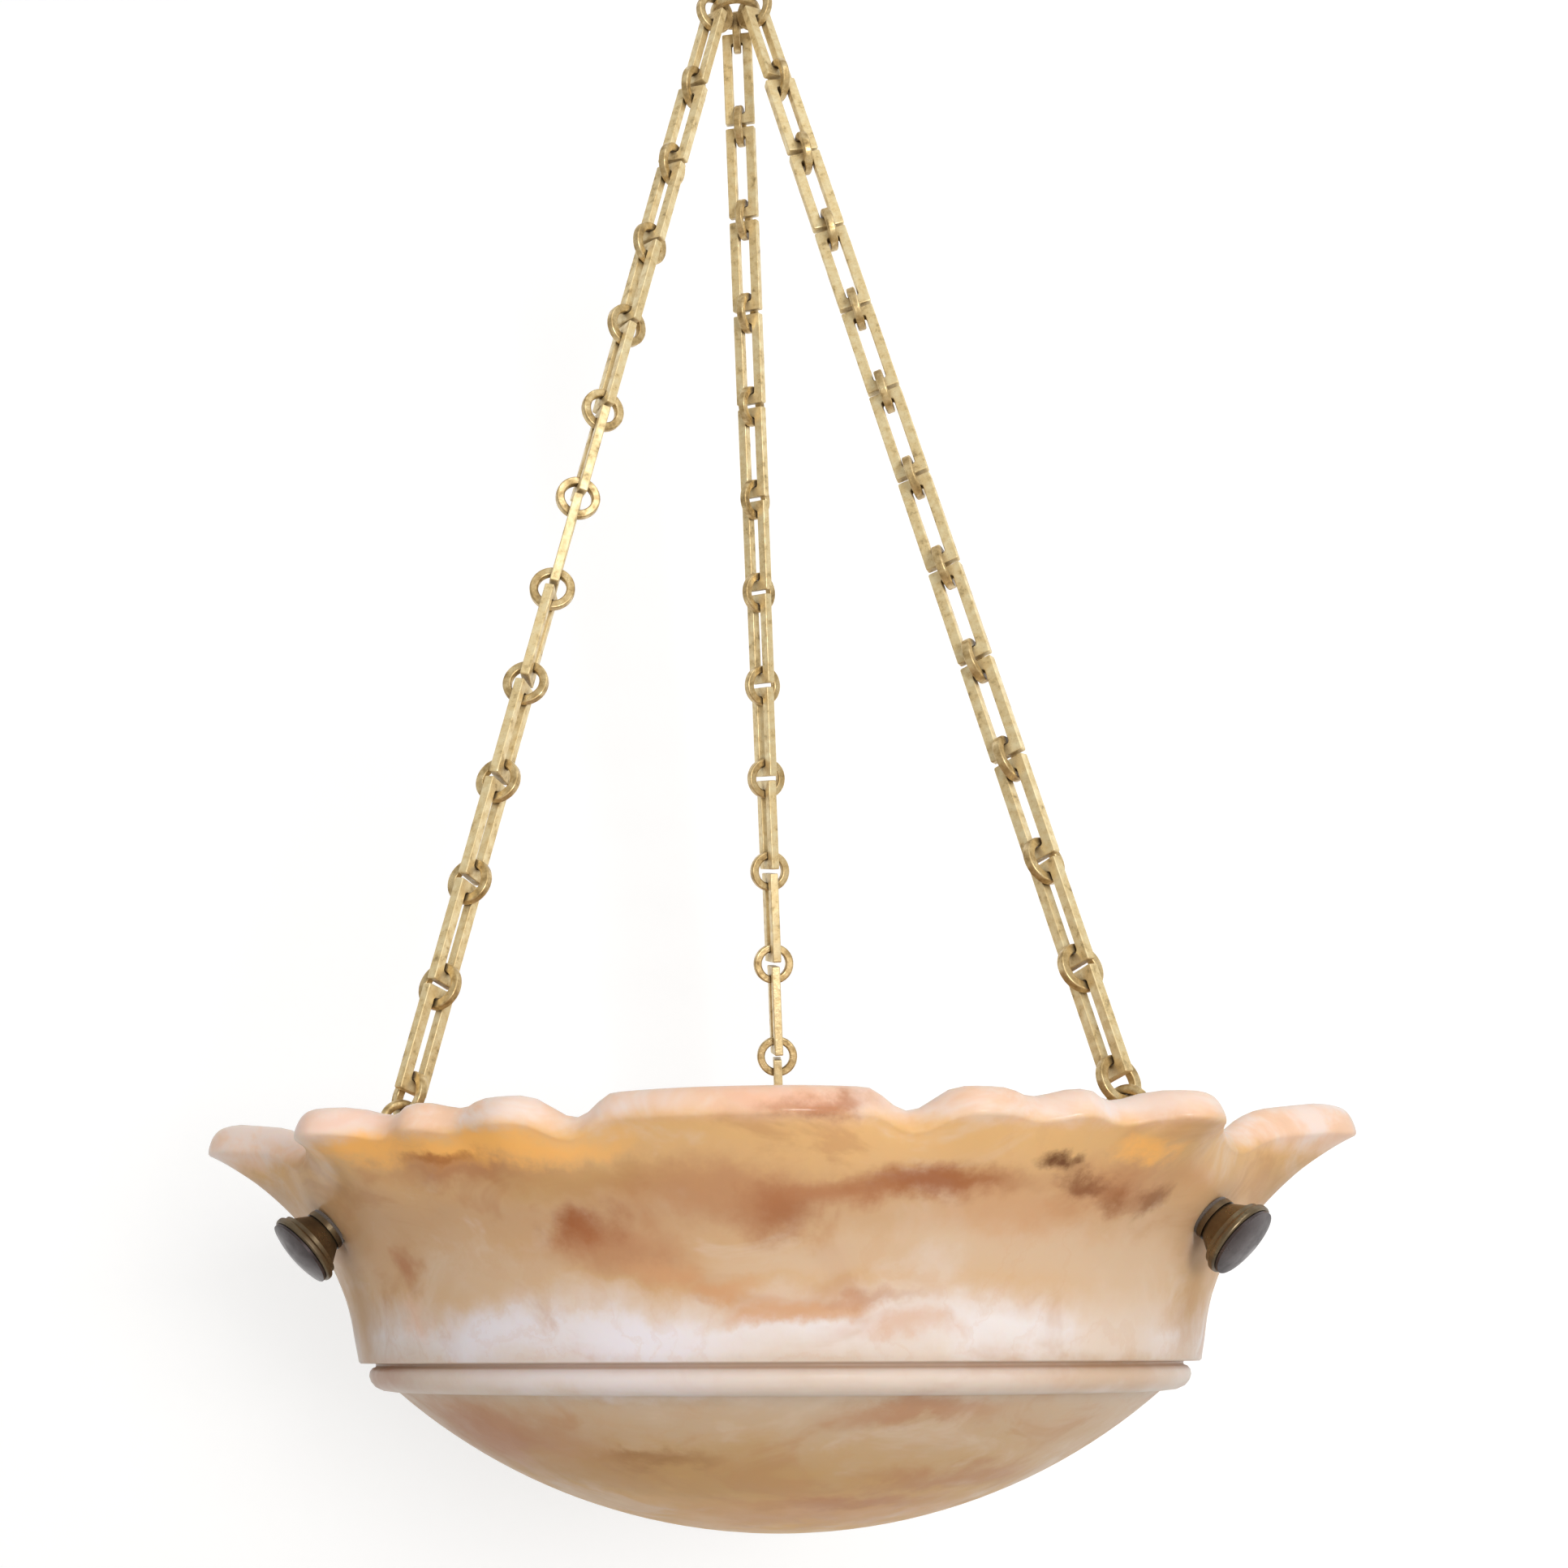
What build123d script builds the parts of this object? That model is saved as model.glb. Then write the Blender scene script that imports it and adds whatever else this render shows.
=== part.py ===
from build123d import *
import os
from math import asin, atan2, cos, degrees, pi, radians, sin, sqrt, tan

# Alabaster bowl pendant. Millimetres, +Z up. The origin is the centre of the ceiling plate's top
# face, so everything hangs below z = 0. The bowl's front faces -Y. An azimuth is measured about Z
# from the front: -60 is the left stud, 60 the right one and 180 the back one.
# Heights on the bowl are given above its groove, the dark line round the foot of the neck.

# ------------------------------------------------------------------ clearances
FIT = 0.05  # radial play of a thread or a shaft in its hole
GAP = 0.2  # play between pieces that hang on, or turn against, each other
STONE_PLAY = 0.6  # radial play of the studs in the stone

# ------------------------------------------------------------------ ceiling plate and hook
PLATE_R = 32.0
PLATE_THICK = 4.0
PLATE_EDGE_FILLET = 1.5
PLATE_BOSS_R = 11.0
PLATE_BOSS_HEIGHT = 7.0
SCREW_HOLE_R = 2.2
SCREW_SINK_R = 4.2
SCREW_CIRCLE_R = 22.0
SCREW_COUNT = 3
HOOK_WIRE_R = 2.75
HOOK_SHANK_INSET = 0.5  # below the plate's top face
HOOK_SHANK_FREE = 7.0  # straight shank below the lock nut
HOOK_CROSSOVER = 9.0  # height over which the wire swings out to the side of the bend
HOOK_BEND_R = 11.0
HOOK_SIDE = 10.0  # straight wire between the swing out and the bend
HOOK_LIP = 14.0
HOOK_CORNER_RADII = (8.0, 11.0)
LOCK_NUT_FLATS = 13.0
LOCK_NUT_THICK = 4.0

# ------------------------------------------------------------------ gather ring and crown
GATHER_R = 9.5  # to the middle of its wire
GATHER_WIRE_R = 2.0
CROWN_EYE_R = 6.0
CROWN_EYE_WIRE_R = 2.0
CROWN_R = 9.0  # the level ring that the three chains hang on
CROWN_WIRE_R = 1.8
CROWN_BAR_ROUND = 1.2  # corners of the level ring's square bar
CROWN_LEG_R = 1.6
CROWN_DROP = 14.0  # from the eye's foot to the level ring
CROWN_BOSS_R = 3.4

# ------------------------------------------------------------------ chains
CHAIN_PITCH = 41.0  # ring to ring
LINKS_PER_CHAIN = 12
RING_OUTER_R = 8.8
RING_BAND = 3.3
RING_THICK = 3.2
RING_EDGE_FILLET = 0.7
LINK_WIDTH = 12.8
LINK_BAR = 4.0
LINK_THICK = 3.6
LINK_END_GAP = 1.8  # between two links inside one ring
LINK_CORNER_R = 0.7
WINDOW_CORNER_R = 1.0
LINK_EDGE_FILLET = 0.45
LINK_PLAY = 0.35  # between a ring and the end of a window
AZIMUTH = {"left": -60.0, "right": 60.0, "back": 180.0}
# How each chain hangs twisted, as (ring counted from the top, azimuth that it faces).
CHAIN_TWIST = {
    "left": ((0, 37.0), (1, 70.0), (2, 68.0), (3, 55.0), (9, -18.0), (11, -28.0), (12, -44.0)),
    "right": (
        (0, 143.0), (1, 110.0), (2, 98.0), (4, 82.0), (7, 71.0), (9, 58.0), (10, 43.0), (11, 35.0), (12, 38.0),
    ),
    "back": ((0, 270.0), (12, 180.0)),
}

# ------------------------------------------------------------------ hook studs, through the flare
STUD_WIRE_R = 1.7
STUD_TILT = 42.0  # of the outer end, below the horizontal
SEAT_R = 168.0  # where the stud's axis leaves the stone, from the bowl's axis
SEAT_HEIGHT = 45.5
SEAT_SPOT_R = 9.0  # flat faces cut in the stone, outside and inside
STONE_AT_STUD = 13.0
STUD_OUTSIDE = 13.4
STUD_BEND_R = 7.5
CROOK_R = 6.5
CROOK_CENTRE_R = 143.0  # from the bowl's axis
CROOK_HEIGHT = 81.5
CROOK_TIP = 5.0
BEND_SLACK = 0.05  # straight wire left between two bends that make a half turn

# ------------------------------------------------------------------ what sits on the studs
FELT_THICK = 1.2
FELT_R = 8.4
OUTER_FELT_R = 7.4
WASHER_THICK = 1.0
WASHER_R = 6.5
STUD_NUT_FLATS = 8.0
STUD_NUT_THICK = 3.6
BELL_FLANGE_R = 7.7
BELL_FLANGE_THICK = 1.8
BELL_NECK_R = 7.1
BELL_CONE_LENGTH = 7.4
BELL_CONE_R = 11.9
BELL_STEP_R = 10.9  # where the cone meets the small step below its ring
BELL_STEP_THICK = 1.5
BELL_RING_R = 13.2
BELL_RING_THICK = 2.5
BELL_RING_FILLET = 0.9
BELL_WALL = 1.6
CAP_R = 12.3
CAP_STEP = 0.9
CAP_RISE = 1.9
CAP_SPIGOT_LENGTH = 1.4
CAP_NUT_R = 4.4
CAP_THREAD_END = 0.8  # room past the stud's end

# ------------------------------------------------------------------ bowl
DOME_R = 213.4
DOME_RIM_R = 136.0
DOME_RIM_HEIGHT = -9.9
BEAD_R = 146.6
BEAD_TOP = -1.4
BEAD_LOWER_FILLET = 5.5
BEAD_UPPER_FILLET = 1.6
GROOVE_R = 144.2
FLOOR_THICK = 16.0
FLOOR_EDGE_R = 124.0  # where the floor's sloping corner starts
CORNER_RUN = 20.0
CORNER_RISE = 20.0
OUTER_SLICES = (0.0, 7.5, 15.0, 22.5, 30.0, 36.0, 42.0, 48.0, 54.0, 59.0, 63.0, 66.0)
INNER_SLICES = (-12.0, 0.0, 15.0, 30.0, 38.0, 46.0, 54.0, 61.0, 67.0, 73.0, 78.0)
LIP_UNDER = 67.0
LIP_TOP = 78.0
# Outer and inner curve of the neck and flare in a valley, as (height, radius).
OUTER_CURVE = (
    (0.0, 150.4),
    (15.0, 153.4),
    (30.0, 158.8),
    (38.0, 163.0),
    (46.0, 168.4),
    (54.0, 173.2),
    (61.0, 176.2),
    (67.0, 178.0),
)
INNER_CURVE = (
    (-12.0, 133.0),
    (0.0, 136.4),
    (30.0, 144.8),
    (38.0, 147.0),
    (46.0, 151.5),
    (54.0, 157.5),
    (61.0, 162.0),
    (67.0, 165.5),
    (73.0, 168.0),
    (78.0, 170.0),
)
OUTER_LOBE_START = 34.0
OUTER_LOBE_POWER = 2.3
INNER_LOBE_START = 45.0
INNER_LOBE_POWER = 2.0
# The rounded edge of the lip, as (height, how far it stands past the lobe's radius).
LIP_EDGE = ((68.0, 0.3), (71.0, 0.6), (74.5, 0.0), (76.8, -1.5), (78.0, -4.0))
# Crests and valleys of a sixth of the lip, as (azimuth from the middle of a broad lobe, radius).
LOBES_IN_A_TURN = 3
LIP_TURNS = (
    (0.0, 186.0),
    (16.5, 177.5),
    (22.0, 187.0),
    (28.5, 183.0),
    (32.5, 190.0),
    (36.5, 187.0),
    (42.0, 206.0),
    (60.0, 178.0),
)
# Scoops across the lip in the deep valleys, as (azimuth, radius of the gouge, depth).
SCOOPS = ((16.5, 15.0, 6.5), (60.0, 26.0, 6.0))
SECTION_POINTS = 120

# ------------------------------------------------------------------ lamp bracket
ARM_THICK = 1.5
ARM_WIDTH = 12.0
ARM_TAB_OUT = 6.5  # tab past the stud, up the wall
ARM_TAB_IN = 9.5  # tab past the stud, down to the bend
ARM_TOE_R = 11.0
ARM_HEEL_R = 25.0
HUB_R = 22.0
HUB_THICK = 2.0
HUB_TOP = 61.0  # above the groove
RIVET_R = 1.5
RIVET_HEAD_R = 2.8
RIVET_HEAD = 1.1
RIVET_CIRCLE_R = 16.5

# ------------------------------------------------------------------ lampholder
NIPPLE_R = 5.0
NIPPLE_BORE_R = 3.6
NIPPLE_ABOVE = 5.5  # past the hub's top
NIPPLE_BELOW = 8.0  # past the hub's underside
NIPPLE_NUT_FLATS = 14.0
NIPPLE_NUT_THICK = 3.0
BUSH_R = 6.5
BUSH_THICK = 2.4
BUSH_SPIGOT = 4.0
CABLE_HOLE_R = 2.6
HOLDER_WALL = 1.6
COVER_TOP_R = 8.5
COVER_R = 15.0
COVER_HEIGHT = 15.0
HOLDER_LAP = 5.0
HOLDER_BODY_HEIGHT = 26.0
HOLDER_SHOULDER = 8.0
HOLDER_LOWER_R = 12.0
INSULATOR_THICK = 7.0
SKIRT_R = 17.5
SKIRT_THICK = 4.0
SKIRT_DROP = 16.0  # below the cover
SLEEVE_BORE_R = 7.2
SLEEVE_WALL = 0.8
SLEEVE_LENGTH = 19.0
CONTACT_R = 3.0
CONTACT_THICK = 1.4
TERMINAL_R = 1.4
TERMINAL_HEAD_R = 2.4
TERMINAL_SPACING = 12.0
TERMINAL_DEPTH = 5.0

# ------------------------------------------------------------------ lamp
LAMP_CAP_R = 6.95
LAMP_CAP_WALL = 0.5
LAMP_CAP_LENGTH = 17.2
LAMP_TIP_R = 2.4
LAMP_TIP_THICK = 1.0
LAMP_TIP_SEAT_R = 6.2
LAMP_COLLAR_R = 15.0
LAMP_COLLAR_LENGTH = 14.5
GLOBE_R = 22.5
GLOBE_WALL = 1.0

# ------------------------------------------------------------------ places worked out from these
FRONT = 0.0
BOTTOM = (Align.CENTER, Align.CENTER, Align.MIN)
RING_HOLE_R = RING_OUTER_R - RING_BAND
SHANK_END = PLATE_THICK + PLATE_BOSS_HEIGHT + LOCK_NUT_THICK + HOOK_SHANK_FREE
HOOK_BOTTOM_Z = -(SHANK_END + HOOK_CROSSOVER + HOOK_SIDE + HOOK_BEND_R)
GATHER_Z = HOOK_BOTTOM_Z + HOOK_WIRE_R + GATHER_WIRE_R + GAP - GATHER_R
CROWN_EYE_Z = GATHER_Z - GATHER_R + GATHER_WIRE_R + CROWN_EYE_WIRE_R + GAP - CROWN_EYE_R
CROWN_FOOT_Z = CROWN_EYE_Z - CROWN_EYE_R
CROWN_Z = CROWN_FOOT_Z - CROWN_DROP
RING_ON_CROWN = RING_HOLE_R - CROWN_WIRE_R - GAP
RING_ON_CROOK = RING_HOLE_R - STUD_WIRE_R - GAP
CHAIN_REACH = LINKS_PER_CHAIN * CHAIN_PITCH + RING_ON_CROWN + RING_ON_CROOK + CROOK_R
GROOVE_Z = CROWN_Z - sqrt(CHAIN_REACH**2 - (CROOK_CENTRE_R - CROWN_R) ** 2) - CROOK_HEIGHT


def at(radius, height, azimuth=FRONT):
    """A point on the bowl by radius, height above the groove and azimuth."""
    a = radians(azimuth)
    return Vector(radius * sin(a), -radius * cos(a), GROOVE_Z + height)


def turned(shape, azimuth):
    """A piece modelled at the front, carried round the bowl's axis."""
    return shape.rotate(Axis.Z, azimuth)


def spun(points, fillets=(), fillet_r=0.0):
    """A turned piece from its half profile, as (radius, height) points; some corners rounded."""
    profile = make_face(Polyline(*[(x, y) for x, y in points], close=True))
    if fillets:
        corners = [profile.vertices().sort_by_distance((x, y, 0))[0] for x, y in fillets]
        profile = fillet(corners, fillet_r)
    return revolve(Plane.XZ * profile, Axis.Z)


def hexagon_nut(flats, thick, hole_r):
    """A hexagon nut that stands on the XY plane."""
    blank = extrude(RegularPolygon(flats / 2, 6, major_radius=False), thick)
    return blank - Cylinder(hole_r, thick, align=BOTTOM)


def disc(radius, thick, hole_r=0.0):
    """A flat disc or washer that stands on the XY plane."""
    face = Circle(radius)
    if hole_r:
        face = face - Circle(hole_r)
    return extrude(face, thick)


def bent_wire(points, radii, wire_r):
    """A round wire along straight runs in the YZ plane, as (y, z) points, with round bends."""
    path = FilletPolyline(*[(0, y, z) for y, z in points], radius=radii)
    start = Plane(origin=path @ 0, z_dir=path % 0)
    return sweep(start * Circle(wire_r), path=path)


def ribbon(points, thick):
    """The outline of a flat strip seen edge on, along its middle line of (x, y) points."""
    left, right = [], []
    for i, (x, y) in enumerate(points):
        x0, y0 = points[max(i - 1, 0)]
        x1, y1 = points[min(i + 1, len(points) - 1)]
        before = atan2(y - y0, x - x0) if i else atan2(y1 - y, x1 - x)
        after = atan2(y1 - y, x1 - x) if i < len(points) - 1 else before
        half_turn = (after - before) / 2
        reach = thick / 2 / cos(half_turn)
        across = before + half_turn + pi / 2
        left.append((x + reach * cos(across), y + reach * sin(across)))
        right.append((x - reach * cos(across), y - reach * sin(across)))
    return left + right[::-1]


def on_curve(points, x):
    """The smooth curve through points at x, without overshoot between them."""
    xs = [p[0] for p in points]
    ys = [p[1] for p in points]
    slopes = [(y1 - y0) / (x1 - x0) for (x0, y0), (x1, y1) in zip(points, points[1:])]
    tangents = [slopes[0]]
    for s0, s1 in zip(slopes, slopes[1:]):
        tangents.append(2 * s0 * s1 / (s0 + s1))
    tangents.append(slopes[-1])
    i = max(0, min(len(xs) - 2, sum(1 for knot in xs if knot <= x) - 1))
    step = xs[i + 1] - xs[i]
    t = (x - xs[i]) / step
    ends = ys[i] * (1 + 2 * t) * (1 - t) ** 2 + ys[i + 1] * t * t * (3 - 2 * t)
    return ends + step * (tangents[i] * t * (1 - t) ** 2 + tangents[i + 1] * t * t * (t - 1))


# ================================================================== ceiling plate and hook
def ceiling_plate():
    """Round plate that screws to the ceiling, with a boss that takes the hook's thread."""
    depth = PLATE_THICK + PLATE_BOSS_HEIGHT
    bore_r = HOOK_WIRE_R + FIT
    outline = [
        (bore_r, 0),
        (PLATE_R, 0),
        (PLATE_R, -PLATE_THICK),
        (PLATE_BOSS_R, -PLATE_THICK),
        (PLATE_BOSS_R, -depth),
        (bore_r, -depth),
    ]
    plate = spun(outline, [(PLATE_R, -PLATE_THICK), (PLATE_BOSS_R, -depth)], PLATE_EDGE_FILLET)
    sink_depth = SCREW_SINK_R - SCREW_HOLE_R
    for i in range(SCREW_COUNT):
        a = 2 * pi * i / SCREW_COUNT
        x, y = SCREW_CIRCLE_R * sin(a), SCREW_CIRCLE_R * cos(a)
        hole = Pos(x, y, -PLATE_THICK / 2) * Cylinder(SCREW_HOLE_R, 2 * PLATE_THICK)
        sink = Pos(x, y, -PLATE_THICK + sink_depth / 2) * Cone(SCREW_SINK_R, SCREW_HOLE_R, sink_depth)
        plate = plate - hole - sink
    return plate


def lock_nut():
    """Nut on the hook's shank, tight against the plate's boss."""
    nut = hexagon_nut(LOCK_NUT_FLATS, LOCK_NUT_THICK, HOOK_WIRE_R + FIT)
    return Pos(0, 0, -PLATE_THICK - PLATE_BOSS_HEIGHT - LOCK_NUT_THICK) * nut


def ceiling_hook():
    """Open hook of round bar: its bend lies under the shank, so the load hangs in line."""
    side_z = HOOK_BOTTOM_Z + HOOK_BEND_R + HOOK_SIDE
    points = [
        (0, -HOOK_SHANK_INSET),
        (0, -SHANK_END),
        (HOOK_BEND_R, side_z),
        (HOOK_BEND_R, HOOK_BOTTOM_Z),
        (-HOOK_BEND_R, HOOK_BOTTOM_Z),
        (-HOOK_BEND_R, HOOK_BOTTOM_Z + HOOK_LIP),
    ]
    bend = HOOK_BEND_R - BEND_SLACK
    return bent_wire(points, [*HOOK_CORNER_RADII, bend, bend], HOOK_WIRE_R)


def gather_ring():
    """Closed ring that hangs in the hook."""
    return Pos(0, 0, GATHER_Z) * (Rot(90, 0, 0) * Torus(GATHER_R, GATHER_WIRE_R))


def chain_crown():
    """Cast crown in the gather ring: an eye, a boss and three legs down to a level ring."""
    bar = RectangleRounded(2 * CROWN_WIRE_R, 2 * CROWN_WIRE_R, CROWN_BAR_ROUND)
    crown = Pos(0, 0, CROWN_Z) * revolve(Plane.XZ * (Pos(CROWN_R, 0) * bar), Axis.Z)
    crown = crown + Pos(0, 0, CROWN_EYE_Z) * (Rot(0, 90, 0) * Torus(CROWN_EYE_R, CROWN_EYE_WIRE_R))
    crown = crown + Pos(0, 0, CROWN_FOOT_Z - CROWN_BOSS_R / 2) * Sphere(CROWN_BOSS_R)
    for side_azimuth in AZIMUTH.values():
        a = radians(side_azimuth + 60)
        leg = Vector(CROWN_R * sin(a), -CROWN_R * cos(a), -CROWN_DROP)
        line = Plane(origin=(0, 0, CROWN_FOOT_Z), z_dir=leg)
        crown = crown + line * Cylinder(CROWN_LEG_R, leg.length, align=BOTTOM)
    return crown


# ================================================================== chains
def chain_ring():
    """One flat round ring about the Z axis."""
    middle_r = RING_OUTER_R - RING_BAND / 2
    section = Pos(middle_r, 0) * RectangleRounded(RING_BAND, RING_THICK, RING_EDGE_FILLET)
    return revolve(Plane.XZ * section, Axis.Z)


def chain_link():
    """One cast link: long along X, wide along Y, with a window that the rings pass through."""
    length = CHAIN_PITCH - LINK_END_GAP
    window = CHAIN_PITCH - 2 * (RING_HOLE_R - LINK_PLAY)
    face = RectangleRounded(length, LINK_WIDTH, LINK_CORNER_R)
    face = face - RectangleRounded(window, LINK_WIDTH - 2 * LINK_BAR, WINDOW_CORNER_R)
    link = extrude(face, LINK_THICK / 2, both=True)
    rims = link.faces().sort_by(Axis.Z)
    return fillet(rims[0].edges() + rims[-1].edges(), LINK_EDGE_FILLET)


def between(points, x):
    """The straight line between neighbouring (x, y) points, at x."""
    for (x0, y0), (x1, y1) in zip(points, points[1:]):
        if x <= x1:
            return y0 + (y1 - y0) * (x - x0) / (x1 - x0)
    return points[-1][1]


def chain(side):
    """The rings and the links of one chain, pulled straight from the crown to the stud's crook."""
    a = radians(AZIMUTH[side])
    top = Vector(CROWN_R * sin(a), -CROWN_R * cos(a), CROWN_Z)
    down = (at(CROOK_CENTRE_R, CROOK_HEIGHT, AZIMUTH[side]) - top).normalized()

    def frame(step):
        azimuth = radians(between(CHAIN_TWIST[side], step))
        facing = Vector(sin(azimuth), -cos(azimuth), 0)
        facing = (facing - down * facing.dot(down)).normalized()
        return top + down * (RING_ON_CROWN + CHAIN_PITCH * step), facing

    ring, link = chain_ring(), chain_link()
    rings, links = [], []
    for step in range(LINKS_PER_CHAIN + 1):
        centre, facing = frame(step)
        rings.append(Plane(origin=centre, x_dir=down, z_dir=facing) * ring)
    for step in range(LINKS_PER_CHAIN):
        centre, facing = frame(step + 0.5)
        links.append(Plane(origin=centre, x_dir=down, z_dir=down.cross(facing)) * link)
    return rings, links


# ================================================================== hook studs and what they hold
TILT = radians(STUD_TILT)


def along_stud(outward, across=0.0):
    """(radius, height) of a point on the stud's axis, by its distance outside the stone."""
    radius = SEAT_R + outward * cos(TILT) + across * sin(TILT)
    return radius, SEAT_HEIGHT - outward * sin(TILT) + across * cos(TILT)


def stud_plane(outward):
    """A plane square to the stud's axis at the front, whose Z axis points out of the bowl."""
    radius, height = along_stud(outward)
    return Plane(origin=at(radius, height), x_dir=(1, 0, 0), z_dir=(0, -cos(TILT), -sin(TILT)))


def hook_stud():
    """Threaded rod through the stone; inside it turns up into a crook over the last ring."""
    outer_leg = CROOK_CENTRE_R + CROOK_R
    inner_leg = CROOK_CENTRE_R - CROOK_R
    bend_height = SEAT_HEIGHT + (SEAT_R - outer_leg) * tan(TILT)
    crown = CROOK_HEIGHT + CROOK_R
    points = [
        along_stud(STUD_OUTSIDE),
        (outer_leg, bend_height),
        (outer_leg, crown),
        (inner_leg, crown),
        (inner_leg, CROOK_HEIGHT - CROOK_TIP),
    ]
    bend = CROOK_R - BEND_SLACK
    places = [(-radius, GROOVE_Z + height) for radius, height in points]
    return bent_wire(places, [STUD_BEND_R, bend, bend], STUD_WIRE_R)


INNER_FELT_AT = -STONE_AT_STUD - FELT_THICK
ARM_TAB_AT = INNER_FELT_AT - ARM_THICK
INNER_WASHER_AT = ARM_TAB_AT - WASHER_THICK
STUD_NUT_AT = INNER_WASHER_AT - STUD_NUT_THICK
BELL_AT = FELT_THICK
BELL_LENGTH = BELL_FLANGE_THICK + BELL_CONE_LENGTH + BELL_RING_THICK


def boss_bell():
    """Turned bronze cup: a flange on the stone, a cone and a ring at its mouth."""
    hole_r = STUD_WIRE_R + FIT
    cone_end = BELL_FLANGE_THICK + BELL_CONE_LENGTH
    outline = [
        (hole_r, 0),
        (BELL_FLANGE_R, 0),
        (BELL_FLANGE_R, BELL_FLANGE_THICK),
        (BELL_NECK_R, BELL_FLANGE_THICK),
        (BELL_STEP_R, cone_end - BELL_STEP_THICK),
        (BELL_CONE_R, cone_end - BELL_STEP_THICK),
        (BELL_CONE_R, cone_end),
        (BELL_RING_R, cone_end),
        (BELL_RING_R, BELL_LENGTH),
        (BELL_CONE_R - BELL_WALL, BELL_LENGTH),
        (BELL_CONE_R - BELL_WALL, cone_end),
        (BELL_NECK_R - BELL_WALL, BELL_FLANGE_THICK + BELL_WALL),
        (hole_r, BELL_FLANGE_THICK + BELL_WALL),
    ]
    rounded = [(BELL_RING_R, cone_end), (BELL_RING_R, BELL_LENGTH)]
    return stud_plane(BELL_AT) * spun(outline, rounded, BELL_RING_FILLET)


def boss_cap():
    """Domed cap that closes the bell; the nut behind it screws on the stud."""
    mouth = BELL_LENGTH + GAP
    nut_end = BELL_FLANGE_THICK + BELL_WALL + GAP
    spigot_r = BELL_CONE_R - BELL_WALL - GAP
    thread_r = STUD_WIRE_R + FIT
    thread_end = STUD_OUTSIDE - BELL_AT + CAP_THREAD_END
    blank = [
        (0, nut_end),
        (CAP_NUT_R, nut_end),
        (CAP_NUT_R, mouth - CAP_SPIGOT_LENGTH),
        (spigot_r, mouth - CAP_SPIGOT_LENGTH),
        (spigot_r, mouth),
        (CAP_R, mouth),
        (CAP_R, mouth + CAP_STEP),
    ]
    sphere_r = (CAP_R**2 + CAP_RISE**2) / (2 * CAP_RISE)
    half = asin(CAP_R / sphere_r) / 2
    crown = mouth + CAP_STEP + CAP_RISE
    shoulder = (sphere_r * sin(half), crown - sphere_r * (1 - cos(half)))
    edges = [Polyline(*blank), ThreePointArc(blank[-1], shoulder, (0, crown)), Line((0, crown), blank[0])]
    cap = revolve(Plane.XZ * make_face(Curve() + edges), Axis.Z)
    thread = Cylinder(thread_r, thread_end, align=BOTTOM)
    return stud_plane(BELL_AT) * (cap - thread)


def outer_felt():
    return stud_plane(0) * disc(OUTER_FELT_R, FELT_THICK, STUD_WIRE_R + FIT)


def inner_felt():
    return stud_plane(INNER_FELT_AT) * disc(FELT_R, FELT_THICK, STUD_WIRE_R + FIT)


def inner_washer():
    return stud_plane(INNER_WASHER_AT) * disc(WASHER_R, WASHER_THICK, STUD_WIRE_R + FIT)


def stud_nut():
    return stud_plane(STUD_NUT_AT) * hexagon_nut(STUD_NUT_FLATS, STUD_NUT_THICK, STUD_WIRE_R + FIT)


# ================================================================== bowl
LEAST_LIP_R = LIP_TURNS[-1][1]


def lip_radius(azimuth):
    """Radius of the lip's edge: a smooth wave through its crests and valleys."""
    sector = 360 / LOBES_IN_A_TURN
    a = abs((azimuth + sector / 2) % sector - sector / 2)
    for (a0, r0), (a1, r1) in zip(LIP_TURNS, LIP_TURNS[1:]):
        if a <= a1:
            return r0 + (r1 - r0) * (1 - cos(pi * (a - a0) / (a1 - a0))) / 2
    return LIP_TURNS[-1][1]


def lobe_growth(height, start, end, power):
    """How much of a lobe's reach the wall has at a height: none at its start, all at its end."""
    return max(0.0, min(1.0, (height - start) / (end - start))) ** power


def outer_radius(azimuth, height):
    growth = lobe_growth(height, OUTER_LOBE_START, LIP_UNDER, OUTER_LOBE_POWER)
    return on_curve(OUTER_CURVE, height) + (lip_radius(azimuth) - LEAST_LIP_R) * growth


def inner_radius(azimuth, height):
    growth = lobe_growth(height, INNER_LOBE_START, LIP_TOP, INNER_LOBE_POWER)
    return on_curve(INNER_CURVE, height) + (lip_radius(azimuth) - LEAST_LIP_R) * growth


def lobed_section(height, radius_at):
    """A level slice through the neck or lip, bounded by one smooth closed curve."""
    azimuths = [360 * i / SECTION_POINTS for i in range(SECTION_POINTS)]
    places = [at(radius_at(a), height, a) for a in azimuths]
    shared = [i / SECTION_POINTS for i in range(SECTION_POINTS + 1)]
    return make_face(Edge.make_spline(places, periodic=True, parameters=shared))


def neck_and_lip():
    """Outer form above the groove, solid, as a loft from the neck's foot to the lip's top."""
    slices = []
    for height in OUTER_SLICES:
        slices.append(lobed_section(height, lambda a, h=height: outer_radius(a, h)))
    for height, past in LIP_EDGE:
        slices.append(lobed_section(height, lambda a, d=past: lip_radius(a) + d))
    return loft(slices)


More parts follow.
